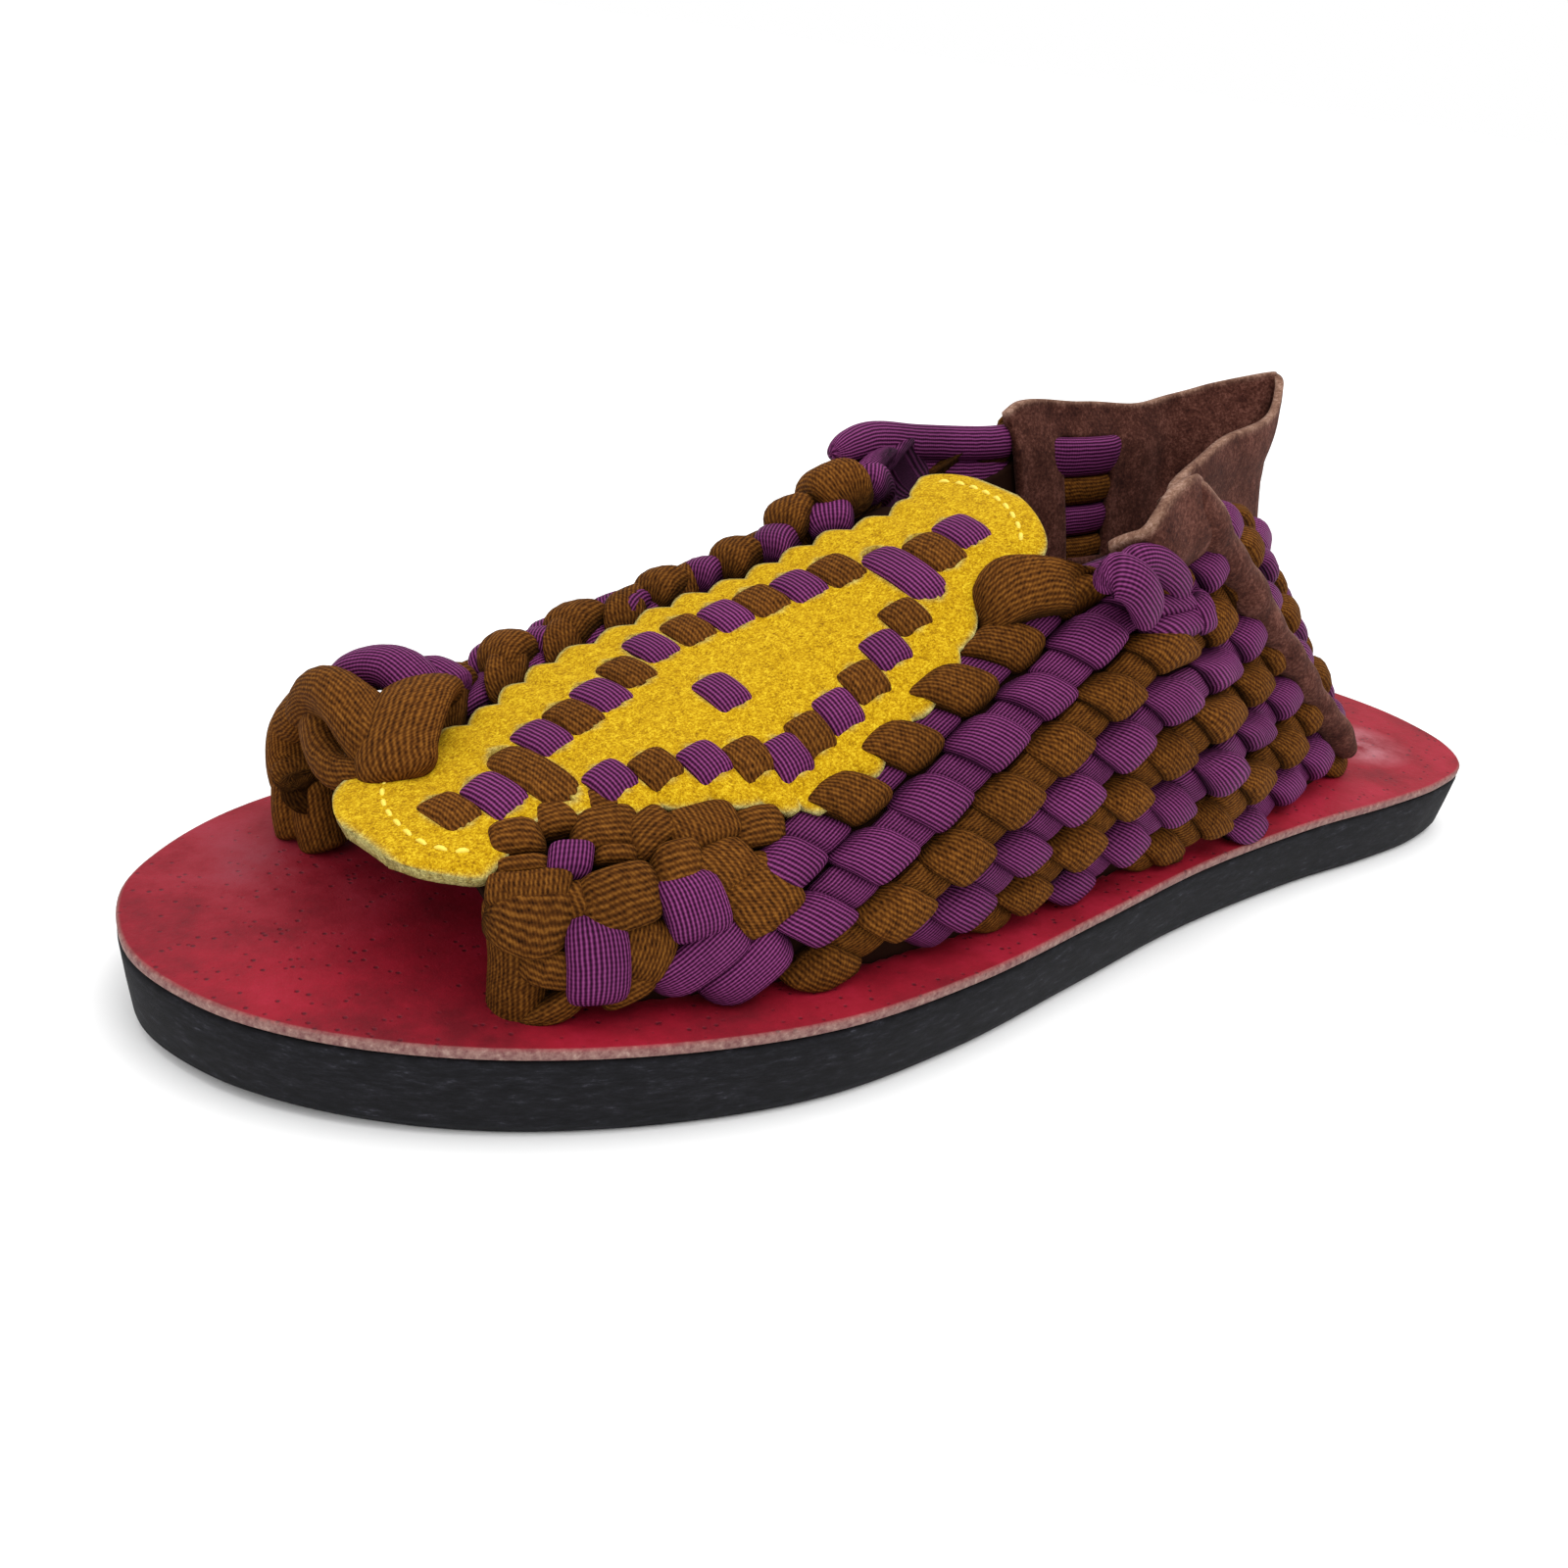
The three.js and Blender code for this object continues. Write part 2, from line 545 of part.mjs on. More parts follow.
// Vamp panel: a leaf of suede on the vamp, its edges scalloped, with a window over each strip
function makePanel() {
  const lines = [...tabLines];
  for (let strip = 1; strip <= panelStrips; strip += 1) {
    lines.push(strip - 0.5, strip - windowHalf, strip + windowHalf);
  }
  lines.push(...tongueLines);
  const outer = [];
  const inner = [];
  const quads = [];
  lines.forEach((line, index) => {
    const strip = THREE.MathUtils.clamp(Math.round(line), 1, panelStrips);
    const paired = readPanel('hole', strip) > 0;
    const isWindow = Math.abs(Math.abs(line - strip) - windowHalf) < 0.01;
    const notch = Math.abs(line - strip) === 0.5 ? panelScallop : 0;
    const offsets = panelOffsets(strip, readPanel('half', line) - notch);
    const tips = paired ? [1, 3] : [3];
    const widths = offsets.map((_, place) => (tips.includes(place) ? windowTip : windowHalf));
    const signed = [...offsets.map((offset) => -offset).reverse(), ...offsets];
    const signedWidths = [...widths].reverse().concat(widths);
    signed.forEach((offset, place) => {
      const along = isWindow ? strip + Math.sign(line - strip) * signedWidths[place] : line;
      const x = fromHeel(firstStripAt) - stripPitch * (along - 1);
      const arc = readPanel('axis', line) + offset;
      const normal = vampNormal(x, arc);
      inner.push(vampPoint(x, arc).addScaledVector(normal, panelClearance));
      outer.push(vampPoint(x, arc).addScaledVector(normal, panelClearance + panelThickness));
    });
    if (index === 0) return;
    const opens = isWindow && line > strip;
    const cells = signed.length - 1;
    for (let cell = 0; cell < cells; cell += 1) {
      const side = paired ? [1, 2, cells - 3, cells - 2].includes(cell) : cell > 0 && cell < cells - 1;
      const middle = strip === centreStrip && cell === (cells - 1) / 2;
      if (opens && (side || middle)) continue;
      const a = (index - 1) * signed.length + cell;
      quads.push([a, a + 1, a + signed.length + 1, a + signed.length]);
    }
  });
  return thicken(outer, inner, quads);
}

const suedeRows = 6;
const suedeFirstColumn = 3;
const suedeLastColumn = quarterColumns - 4;
const suedeFootShare = -0.02;

// Heel panel: slack suede lining, from the insole up to a rim that stands above the weave
function makeHeelPanel() {
  const outer = [];
  const inner = [];
  const quads = [];
  for (let column = suedeFirstColumn; column <= suedeLastColumn; column += 1) {
    const place = ribOfColumn(column);
    for (let row = 0; row <= suedeRows; row += 1) {
      const share = THREE.MathUtils.lerp(suedeFootShare, 1, row / suedeRows);
      const normal = quarterNormal(place, share);
      const point = ribPoint(smoothRibs(place), share);
      const depth = wallThickness + suedeClearance;
      outer.push(point.clone().addScaledVector(normal, -depth));
      inner.push(point.clone().addScaledVector(normal, -depth - suedeThickness));
    }
  }
  for (let column = 0; column < suedeLastColumn - suedeFirstColumn; column += 1) {
    for (let row = 0; row < suedeRows; row += 1) {
      const a = column * (suedeRows + 1) + row;
      quads.push([a, a + suedeRows + 1, a + suedeRows + 2, a + 1]);
    }
  }
  return geometryFrom(solidOf(thicken(outer, inner, quads)).subtract(groundBlock()));
}

// Everything below the insole's top, to trim what stands on it
function groundBlock() {
  const depth = 80;
  const block = new THREE.BoxGeometry(2 * soleLength, 4 * ballWidth, depth);
  block.translate(0, 0, footLevel - depth / 2);
  return solidOf(block);
}

function material(color, roughness) {
  return new THREE.MeshStandardMaterial({ color, roughness, metalness: 0 });
}

const sandal = new THREE.Group();
function addPiece(name, geometry, finish) {
  const mesh = new THREE.Mesh(geometry, finish);
  mesh.name = name;
  sandal.add(mesh);
}

addPiece('outsole', stackRings([
  outlineRing(soleUndercut + soleEdgeRound, soleEdgeRound, 0),
  outlineRing(soleUndercut, 0, soleEdgeRound),
  outlineRing(0, 0, soleThickness),
]), material(0x24262a, 0.85));
addPiece('insole', stackRings([
  outlineRing(0, 0, insoleBottom),
  outlineRing(0, 0, insoleTop),
]), material(0xa51b34, 0.75));
addPiece('upper', makeUpper(), material(0x5a2a5c, 0.85));
addPiece('vamp_panel', makePanel(), material(0xd9b32c, 0.95));
addPiece('heel_panel', makeHeelPanel(), material(0x4a3030, 0.95));

export default sandal;
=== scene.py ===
import math
import bmesh
import bpy
import numpy as np
from mathutils import Matrix, Vector


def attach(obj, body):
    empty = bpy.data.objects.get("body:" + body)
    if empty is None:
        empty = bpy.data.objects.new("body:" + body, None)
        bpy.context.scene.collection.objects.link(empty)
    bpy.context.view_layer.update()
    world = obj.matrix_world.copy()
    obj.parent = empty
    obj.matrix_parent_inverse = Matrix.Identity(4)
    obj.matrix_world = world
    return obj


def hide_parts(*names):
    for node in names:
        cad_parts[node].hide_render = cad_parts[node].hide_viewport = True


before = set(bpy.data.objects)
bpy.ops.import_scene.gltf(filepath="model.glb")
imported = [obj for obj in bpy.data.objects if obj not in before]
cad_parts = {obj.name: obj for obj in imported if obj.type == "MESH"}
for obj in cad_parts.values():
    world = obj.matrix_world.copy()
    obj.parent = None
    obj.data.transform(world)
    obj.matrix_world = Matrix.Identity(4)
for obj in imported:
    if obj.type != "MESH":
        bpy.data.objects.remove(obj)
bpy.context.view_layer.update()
mm = 0.001
random = np.random.default_rng(7)

# Lengths are in millimetres and x counts from the back of the heel until a mesh is made;
# +y is the outer side of the foot, z is up from the ground
sole = {"length": 290.0, "ball": 103.0, "rubber": 13.6, "undercut": 1.7, "corner": 2.2,
        "seat": 0.3, "leather": 2.0, "apexSide": -0.061, "bevelFrom": 0.86, "steps": 480}
insoleTop = sole["rubber"] + sole["seat"] + sole["leather"]
soleOutline = [
    # share of the length, outer and inner side as shares of the ball width
    (0.000, 0.14, 0.03), (0.012, 0.262, -0.105), (0.04, 0.352, -0.222), (0.09, 0.392, -0.312),
    (0.16, 0.404, -0.358), (0.25, 0.403, -0.355), (0.38, 0.428, -0.293), (0.5, 0.481, -0.29),
    (0.62, 0.531, -0.389), (0.72, 0.534, -0.464), (0.82, 0.464, -0.472), (0.9, 0.353, -0.415),
    (0.955, 0.224, -0.319), (0.985, 0.102, -0.223),
]

# Sections of the instep: x, outer side, inner side, ridge side, height over the insole, and the
# powers of the curve on the outer and the inner side
archSections = [
    (60, 41.2, -28.4, -9.3, 61.2, 4, 3), (98.6, 41.2, -28.4, -9.3, 61.2, 4, 3),
    (130, 42, -28, -8, 60, 4, 3), (145, 43.5, -29, -6, 57.6, 3.6, 3), (160, 45, -31, -6, 52.2, 3.2, 3),
    (180, 47, -35, -7, 43.1, 2.9, 3), (200, 46.5, -38, -7, 35.5, 2.7, 3), (220, 43.5, -39, -5, 29.5, 3, 3),
    (240, 38, -35, 0, 23.5, 3.6, 3), (250, 33, -32, 3, 20.5, 4, 3), (264, 30.9, -30.9, 3.6, 18, 4, 3),
    (275, 30.9, -30.9, 3.6, 17, 4, 3),
]

# Ribs of the quarters from the outer side round the heel to the inner side: x and side of the
# foot, x, side and height over the insole of the rim
heelRibs = [
    (84.1, 36.1, 135.1, 34, 56.8), (68.2, 33.5, 123.3, 30.9, 60.1), (51.6, 29.4, 111.7, 25.2, 62.4),
    (33.1, 20.1, 100.1, 18.3, 63.4), (24.1, 8, 86.4, 8.2, 61.1), (22, -1, 60.9, -4.1, 61.7),
    (24.9, -11, 35.7, -13.9, 64), (31.9, -19, 22.6, -26.8, 70.6), (42.1, -24, 36.3, -37.1, 68),
    (58, -28, 57.1, -39.7, 64.4), (72.5, -29.5, 78.3, -39.7, 65), (85.6, -29.3, 100.1, -38.1, 65),
    (88.7, -28.6, 123.3, -33, 62),
]


def cubic(t, start, end, startSlope, endSlope):
    # Cubic over t from 0 to 1 between two values with the slopes there
    return ((2 * t**3 - 3 * t**2 + 1) * start + (t**3 - 2 * t**2 + t) * startSlope
            + (3 * t**2 - 2 * t**3) * end + (t**3 - t**2) * endSlope)


def readColumn(rows, column, value):
    # Smooth curve through a table's rows: cubic between two rows, with the slope at a row taken
    # from its neighbours
    table = np.array(rows, float)
    keys, data = table[:, 0], table[:, column]
    before, after = np.r_[0, 0:len(keys) - 1], np.r_[1:len(keys), len(keys) - 1]
    slope = (data[after] - data[before]) / (keys[after] - keys[before])
    low = np.clip(np.searchsorted(keys, value, side="right") - 1, 0, len(keys) - 2)
    span = keys[low + 1] - keys[low]
    t = np.clip((value - keys[low]) / span, 0, 1)
    return cubic(t, data[low], data[low + 1], span * slope[low], span * slope[low + 1])


def smoothStep(value, start, end):
    t = np.clip((value - start) / (end - start), 0, 1)
    return t * t * (3 - 2 * t)


def unit(vectors):
    return vectors / np.maximum(np.linalg.norm(vectors, axis=-1, keepdims=True), 1e-9)


# The wall is read over x and the arc along its section. The instep ends at the throat's line,
# which leans back below the rim and is straight above it. For each side: the arc of the rim, the
# arc of a full rib, the length between two ribs and half the length of the blend at the line.
wall = {"firstX": -110, "arcReach": 130, "throatX": 141.0, "lean": 0.84, "straight": 12, "rimShare": 0.9,
        "footGap": 1.5}
wallSides = {1: {"rimArc": 39.0, "fall": 68.0, "span": 14.6, "blend": 7},
             -1: {"rimArc": 30.0, "fall": 62.0, "span": 13.0, "blend": 20}}
instepX = np.arange(60, 276)
lastRib = len(heelRibs) - 1


def throatLine(side, arc):
    # x of the line where the instep ends and the quarter begins
    return wall["throatX"] - wall["lean"] * (arc - wallSides[side]["rimArc"])


def archPoints(x, arc, side):
    # Point of the instep at a distance arc from the ridge along the section: the section is a
    # quarter of a superellipse on each side of the ridge, walked by its own length
    angle = (1 - np.linspace(0, 1, 90)) * np.pi / 2
    ridge, high = readColumn(archSections, 3, x), readColumn(archSections, 4, x)
    foot = readColumn(archSections, 1 if side > 0 else 2, x)
    power = 2 / readColumn(archSections, 5 if side > 0 else 6, x)
    out = np.maximum(np.cos(angle), 0)[None] ** power[:, None]
    up = np.maximum(np.sin(angle), 0)[None] ** power[:, None]
    y = ridge[:, None] + (foot - ridge)[:, None] * out
    z = insoleTop + high[:, None] * up
    steps = np.hypot(np.diff(y, axis=1, prepend=y[:, :1]), np.diff(z, axis=1, prepend=z[:, :1]))
    walked = np.cumsum(steps, axis=1)
    points = np.empty((len(x), len(arc), 3))
    for row in range(len(x)):  # one section at a time
        points[row, :, 0] = x[row]
        points[row, :, 1] = np.interp(arc, walked[row], y[row])
        points[row, :, 2] = np.interp(arc, walked[row], z[row]) - np.maximum(arc - walked[row, -1], 0)
    return points


def ribPoints(place, share):
    # Point on a rib of the quarters: straight from the foot to the rim, both read from the table
    rows = [(index, *rib) for index, rib in enumerate(heelRibs)]
    read = [readColumn(rows, column, place) for column in range(1, 6)]
    foot = np.stack([read[0], read[1], np.full_like(read[0], insoleTop)], -1)
    rim = np.stack([read[2], read[3], insoleTop + read[4]], -1)
    return foot + (rim - foot) * share[..., None]


def makeWallTable(side, quarters=True):
    # Outer face of the wall on one side as a table over x and arc: the instep up to the throat's
    # line and the quarters behind it, blended over the line
    form = wallSides[side]
    x = np.arange(wall["firstX"], instepX[-1] + 1.0)
    arc = np.arange(0.0, wall["arcReach"] + 1.0)
    instep = archPoints(np.clip(x, instepX[0], instepX[-1]), arc, side)
    instep[..., 0] = x[:, None]
    gridX, gridArc = np.meshgrid(x, arc, indexing="ij")
    back = throatLine(side, np.maximum(gridArc, form["rimArc"] - wall["straight"])) - gridX
    rib = back / form["span"] if side > 0 else lastRib - back / form["span"]
    share = wall["rimShare"] - (gridArc - form["rimArc"]) / form["fall"]
    quarter = ribPoints(np.clip(rib, 0, lastRib), share)
    mix = smoothStep(back, -form["blend"], form["blend"])[..., None] * quarters
    points = instep * (1 - mix) + quarter * mix
    normals = unit(np.cross(np.gradient(points, axis=0), np.gradient(points, axis=1)))
    return points, normals * side


wallTables = {1: makeWallTable(1), -1: makeWallTable(-1)}
instepTables = {1: makeWallTable(1, False), -1: makeWallTable(-1, False)}
print("wall worked out")


def wallPoints(x, arc, height, tables=wallTables):
    # Point over the wall: the table read between its four nearest entries, moved out along the
    # normal by height. A positive arc is the outer side, a negative one the inner side.
    result = np.zeros(np.broadcast(x, arc, height).shape + (3,))
    x, arc, height = np.broadcast_arrays(x, arc, height)
    for side, (points, normals) in tables.items():
        chosen = (arc * side > 0) | ((arc == 0) & (side > 0))
        u = np.clip(x[chosen] - wall["firstX"], 0, points.shape[0] - 1.001)
        v = np.clip(np.abs(arc[chosen]), 0, points.shape[1] - 1.001)
        i, j = u.astype(int), v.astype(int)
        fu, fv = (u - i)[:, None], (v - j)[:, None]
        weights = ((1 - fu) * (1 - fv), fu * (1 - fv), (1 - fu) * fv, fu * fv)
        corners = ((i, j), (i + 1, j), (i, j + 1), (i + 1, j + 1))
        point = sum(w * points[c] for w, c in zip(weights, corners))
        normal = unit(sum(w * normals[c] for w, c in zip(weights, corners)))
        result[chosen] = point + normal * height[chosen][:, None]
    return result


def toScene(points):
    # Millimetres from the heel to metres from the middle of the sole
    return (np.asarray(points, float) - [sole["length"] / 2, 0, 0]) * mm


def closePoles(mesh):
    # Merges the points where a ring has closed to nothing and turns every face outward
    shape = bmesh.new()
    shape.from_mesh(mesh)
    bmesh.ops.remove_doubles(shape, verts=shape.verts, dist=0.002 * mm)
    bmesh.ops.recalc_face_normals(shape, faces=shape.faces)
    shape.to_mesh(mesh)
    shape.free()


def makeObject(name, vertices, faces, material, uv=None, rim=None, poles=False):
    # Mesh from whole arrays; uv holds one pair a vertex and rim one value a vertex: a raw cut
    # edge on leather and suede, painted shade in the creases on knit blocks
    mesh = bpy.data.meshes.new(name)
    mesh.from_pydata(toScene(vertices), [], faces.tolist() if isinstance(faces, np.ndarray) else faces)
    loopVertex = np.empty(len(mesh.loops), int)
    mesh.loops.foreach_get("vertex_index", loopVertex)
    if uv is not None:
        layer = mesh.uv_layers.new(name="thread")
        layer.data.foreach_set("uv", np.asarray(uv, float)[loopVertex].ravel())
    if rim is not None:
        layer = mesh.attributes.new("rim", "FLOAT", "POINT")
        layer.data.foreach_set("value", np.asarray(rim, float))
    mesh.polygons.foreach_set("use_smooth", np.full(len(mesh.polygons), True))
    mesh.validate()
    mesh.materials.append(material)
    if poles:
        closePoles(mesh)
    made = bpy.data.objects.new(name, mesh)
    bpy.context.collection.objects.link(made)
    return made


def gridFaces(rows, columns, closeColumns=False, flip=False):
    # Four-sided faces of a grid of rows by columns, optionally closed round along its columns
    i, j = np.meshgrid(np.arange(rows - 1), np.arange(columns - (not closeColumns)), indexing="ij")
    nextJ = (j + 1) % columns
    corners = [i * columns + j, (i + 1) * columns + j, (i + 1) * columns + nextJ, i * columns + nextJ]
    faces = np.stack(corners, -1).reshape(-1, 4)
    return faces[:, ::-1] if flip else faces


def hexColour(code):
    # sRGB hex value to linear colour
    channels = np.array([int(code[i:i + 2], 16) for i in (0, 2, 4)]) / 255
    linear = np.where(channels <= 0.04045, channels / 12.92, ((channels + 0.055) / 1.055) ** 2.4)
    return (*linear.tolist(), 1.0)


def addNode(material, kind, settings=None, links=None):
    # Adds a node, sets its own values and sockets, and links sockets from (node, output) pairs
    tree = material.node_tree
    node = tree.nodes.new(kind)
    for key, value in (settings or {}).items():
        if isinstance(key, str) and hasattr(node, key):
            setattr(node, key, value)
        else:
            node.inputs[key].default_value = value
    for key, (source, output) in (links or {}).items():
        tree.links.new(source.outputs[output], node.inputs[key])
    return node


def newMaterial(name, settings):
    material = bpy.data.materials.new(name)
    material.use_nodes = True
    material.node_tree.nodes.clear()
    shader = addNode(material, "ShaderNodeBsdfPrincipled", settings)
    addNode(material, "ShaderNodeOutputMaterial", links={"Surface": (shader, "BSDF")})
    return material, shader


def ramp(material, source, stops):
    # Colour ramp over (position, hex) stops. This and the helpers below take numbers or
    # (node, output) pairs and return such a pair.
    node = addNode(material, "ShaderNodeValToRGB", links={"Fac": source})
    while len(node.color_ramp.elements) < len(stops):
        node.color_ramp.elements.new(0.5)
    for element, (position, code) in zip(node.color_ramp.elements, stops):
        element.position, element.color = position, hexColour(code)
    return node, "Color"


def calculate(material, operation, *terms):
    numbers = {key: term for key, term in enumerate(terms) if not isinstance(term, tuple)}
    pairs = {key: term for key, term in enumerate(terms) if isinstance(term, tuple)}
    return addNode(material, "ShaderNodeMath", {"operation": operation, **numbers}, pairs), "Value"


def noise(material, source, scale, detail, roughness=0.5):
    settings = {"Scale": scale, "Detail": detail, "Roughness": roughness}
    return addNode(material, "ShaderNodeTexNoise", settings, {"Vector": source}), "Fac"


def remap(material, source, start, end, low, high):
    # From start to end becomes low to high, held beyond both
    settings = {"From Min": start, "From Max": end, "To Min": low, "To Max": high}
    return addNode(material, "ShaderNodeMapRange", settings, {"Value": source}), "Result"


def mixColours(material, share, first, second):
    # The second colour is a pair or a hex value
    settings, links = {"data_type": "RGBA"}, {0: share, 6: first}
    if isinstance(second, str):
        settings[7] = hexColour(second)
    else:
        links[7] = second
    return addNode(material, "ShaderNodeMix", settings, links), "Result"


def link(material, source, node, key):
    material.node_tree.links.new(source[0].outputs[source[1]], node.inputs[key])


def addBump(material, shader, height, strength, distance):
    bump = addNode(material, "ShaderNodeBump", {"Strength": strength, "Distance": distance * mm},
                   {"Height": height})
    link(material, (bump, "Normal"), shader, "Normal")


def clothSettings(look, sheenRoughness):
    return {"Roughness": look["roughness"], "Specular IOR Level": look["gloss"],
            "Sheen Weight": look["sheen"], "Sheen Roughness": sheenRoughness,
            "Sheen Tint": hexColour(look["light"])}


def knitMaterial(name, look):
    # Stretch knit tube: fine ribs along the tube every ribPitch, crossed by the courses of
    # stitches every coursePitch, with a little fuzz and a random tone; the colour follows the ribs'
    # height, with painted shade in the grooves and painted highlight on the tops, and is darkened by
    # painted shade in the creases between blocks. UV is millimetres along and across the tube.
    material, shader = newMaterial(name, clothSettings(look, 0.4))
    uv = addNode(material, "ShaderNodeUVMap", {"uv_map": "thread"}), "UV"
    spot = addNode(material, "ShaderNodeTexCoord"), "Object"
    wander = noise(material, uv, 0.35, 2.0)[0], "Color"
    shift = addNode(material, "ShaderNodeVectorMath", {"operation": "SCALE", "Scale": look["wander"]},
                    {0: wander})
    moved = addNode(material, "ShaderNodeVectorMath", {"operation": "ADD"}, {0: uv, 1: (shift, "Vector")})
    split = addNode(material, "ShaderNodeSeparateXYZ", links={"Vector": (moved, "Vector")})
    slant = calculate(material, "MULTIPLY_ADD", (split, "Y"), look["slant"], (split, "X"))
    ribs, courses = [
        calculate(material, "MULTIPLY_ADD", calculate(material, "SINE", turned), 0.5, 0.5)
        for turned in (calculate(material, "MULTIPLY", (split, "Y"), 2 * math.pi / look["ribPitch"]),
                       calculate(material, "MULTIPLY", slant, 2 * math.pi / look["coursePitch"]))]
    coursePart = calculate(material, "MULTIPLY", courses, look["courseDepth"])
    knit = calculate(material, "MULTIPLY_ADD", ribs, 1 - look["courseDepth"], coursePart)
    knitPart = calculate(material, "MULTIPLY", knit, 1 - look["fuzz"])
    fuzz = noise(material, spot, look["fuzzScale"], 3.0, 0.7)
    rough = calculate(material, "MULTIPLY_ADD", fuzz, look["fuzz"], knitPart)
    shade = remap(material, noise(material, spot, 45.0, 2.0), 0.3, 0.7, 0.82, 1.12)
    # Painted shade: the rim value, 1 at a block's ends and lower sides, darkens the colour down to 0.3
    creaseShade = addNode(material, "ShaderNodeAttribute", {"attribute_name": "rim"}), "Fac"
    shaded = calculate(material, "MULTIPLY", shade, remap(material, creaseShade, 0.0, 1.0, 1.0, 0.3))
    # The ribs' height also sets the colour: painted shade in the grooves and painted highlight on the rib
    # tops, mixed with the fuzz's random tone
    toned = addNode(material, "ShaderNodeVectorMath", {"operation": "SCALE"},
                    {0: ramp(material, rough, look["stops"]), "Scale": shaded})
    link(material, (toned, "Vector"), shader, "Base Color")
    addBump(material, shader, rough, look["bump"], look["relief"])
    return material


# Polyester knit, slightly glossy with crisp ribs; terry knit, duller with a looped, twilled face
# Each look's stops run from the painted shade of the rib grooves to the painted highlight of the rib tops
knits = {
    "purple": knitMaterial("purple polyester knit", {
        "gloss": 0.05, "ribPitch": 0.68, "coursePitch": 0.6, "courseDepth": 0.16, "slant": 0.0,
        "wander": 0.35, "fuzz": 0.2, "fuzzScale": 900.0, "roughness": 0.6, "sheen": 0.03, "light": "a070a0",
        "bump": 0.8, "relief": 0.22, "stops": ((0.12, "1e0418"), (0.5, "551947"), (0.88, "874176"))}),
    "brown": knitMaterial("brown terry knit", {
        "gloss": 0.04, "ribPitch": 0.8, "coursePitch": 0.7, "courseDepth": 0.3, "slant": 0.9, "wander": 0.9,
        "fuzz": 0.66, "fuzzScale": 1100.0, "roughness": 0.88, "sheen": 0.05, "light": "a07848", "bump": 0.9,
        "relief": 0.32, "stops": ((0.24, "1c0c04"), (0.5, "563110"), (0.76, "865620"))}),
}

# Blocks of strip

# The last two entries place the painted shade in the creases: towards a block's ends and on its sides below
# the given lift
blockGrid = {"rings": 17, "around": 24, "endPower": 6.0, "sidePower": 0.6, "topPower": 0.75, "press": 0.6,
             "widthPower": 0.45, "dipPower": 3.4, "thinner": 0.25, "threadShift": 3.7,
             "creaseShadePower": 9, "creaseShade": (-0.1, 0.55)}
hiddenGrid = {**blockGrid, "rings": 9, "around": 12}
stitchGrid = {**blockGrid, "rings": 6, "around": 8, "endPower": 4.0, "sidePower": 1.0, "topPower": 1.0}


def knitBlocks(name, blocks, material, grid=blockGrid, tables=wallTables):
    # Each block is a short cushion of tube bent over the wall. Columns: centre x and arc, half
    # length along the tube (x, arc), half width across it (x, arc), rise of its centre over the
    # wall, half thickness, dip of its ends, and the shift of its middle to one side. A section is
    # a rounded box whose width closes to nothing at both ends; the middle line rises as
    # rise - dip * |p|^dipPower, with p from -1 to 1 along the tube. What would go into the insole is
    # pressed up on it, softly over the length press.
    b = np.array([row if len(row) > 9 else (*row, 0) for row in blocks], float)[:, :, None, None]
    p = np.sin(np.linspace(-np.pi / 2, np.pi / 2, grid["rings"]))[None, :, None]
    q = (np.linspace(0, 2 * np.pi, grid["around"], endpoint=False) - np.pi / 2)[None, None, :]
    width = np.maximum(1 - np.abs(p) ** grid["endPower"], 0) ** grid["widthPower"]
    flat = np.sign(np.cos(q)) * np.abs(np.cos(q)) ** grid["sidePower"]
    lift = np.sign(np.sin(q)) * np.abs(np.sin(q)) ** grid["topPower"]
    across = flat * width + b[:, 9] * (1 - p**2)
    x = b[:, 0] + b[:, 2] * p + b[:, 4] * across
    arc = b[:, 1] + b[:, 3] * p + b[:, 5] * across
    height = (b[:, 6] - b[:, 8] * np.abs(p) ** grid["dipPower"]
              + b[:, 7] * lift * width * (1 - grid["thinner"] * p**2))
    points = wallPoints(x, arc, height, tables)
    above = (points[..., 2] - insoleTop) / grid["press"]
    points[..., 2] = insoleTop + grid["press"] * np.logaddexp(0, above)
    count, rings, around = points.shape[:3]
    halfLength, halfWidth = np.hypot(b[:, 2], b[:, 3]), np.hypot(b[:, 4], b[:, 5])
    step = np.hypot(np.diff(flat, prepend=flat[..., -1:]) * halfWidth,
                    np.diff(lift, prepend=lift[..., -1:]) * b[:, 7])
    v = np.cumsum(step, axis=-1) + 0 * p
    v -= v[..., around // 2, None]
    u = halfLength * p + 0 * q + grid["threadShift"] * np.arange(count)[:, None, None]
    faces = gridFaces(rings, around, closeColumns=True)
    faces = (faces[None] + (np.arange(count) * rings * around)[:, None, None]).reshape(-1, 4)
    # Painted shade in the creases: 1 at the block's ends and along its sides where they sink, 0 on its top;
    # the knit materials read it as the rim attribute
    creaseShade = np.maximum(np.abs(p) ** grid["creaseShadePower"], 1 - smoothStep(lift, *grid["creaseShade"])) + 0 * u
    return makeObject(name, points.reshape(-1, 3), faces, material, np.stack([u, v], -1).reshape(-1, 2),
                      creaseShade.ravel(), poles=True)


def hangOn(piece, node="upper"):
    # Every piece rides on the one body; where it stands for a CAD node this one is hidden
    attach(piece, "root")
    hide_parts(node)


# Weave of one side: places of the crossing strips s and the lengthwise rows t on the wall
weave = {
    1: {"x": 163.0, "arc": 38.6, "strip": 13, "stripX": -5.9, "stripArc": -1.4, "rowX": -8.9, "rowArc": 8.6,
        "first": 2, "last": 50, "rows": 13},
    -1: {"x": 163.0, "arc": 13.0, "strip": 13, "stripX": -5.9, "stripArc": -0.3, "rowX": -8.4, "rowArc": 9.0,
         "first": -14, "last": 36, "rows": 10},
}
brownRows = (2, 4, 6, 8, 10, 12)
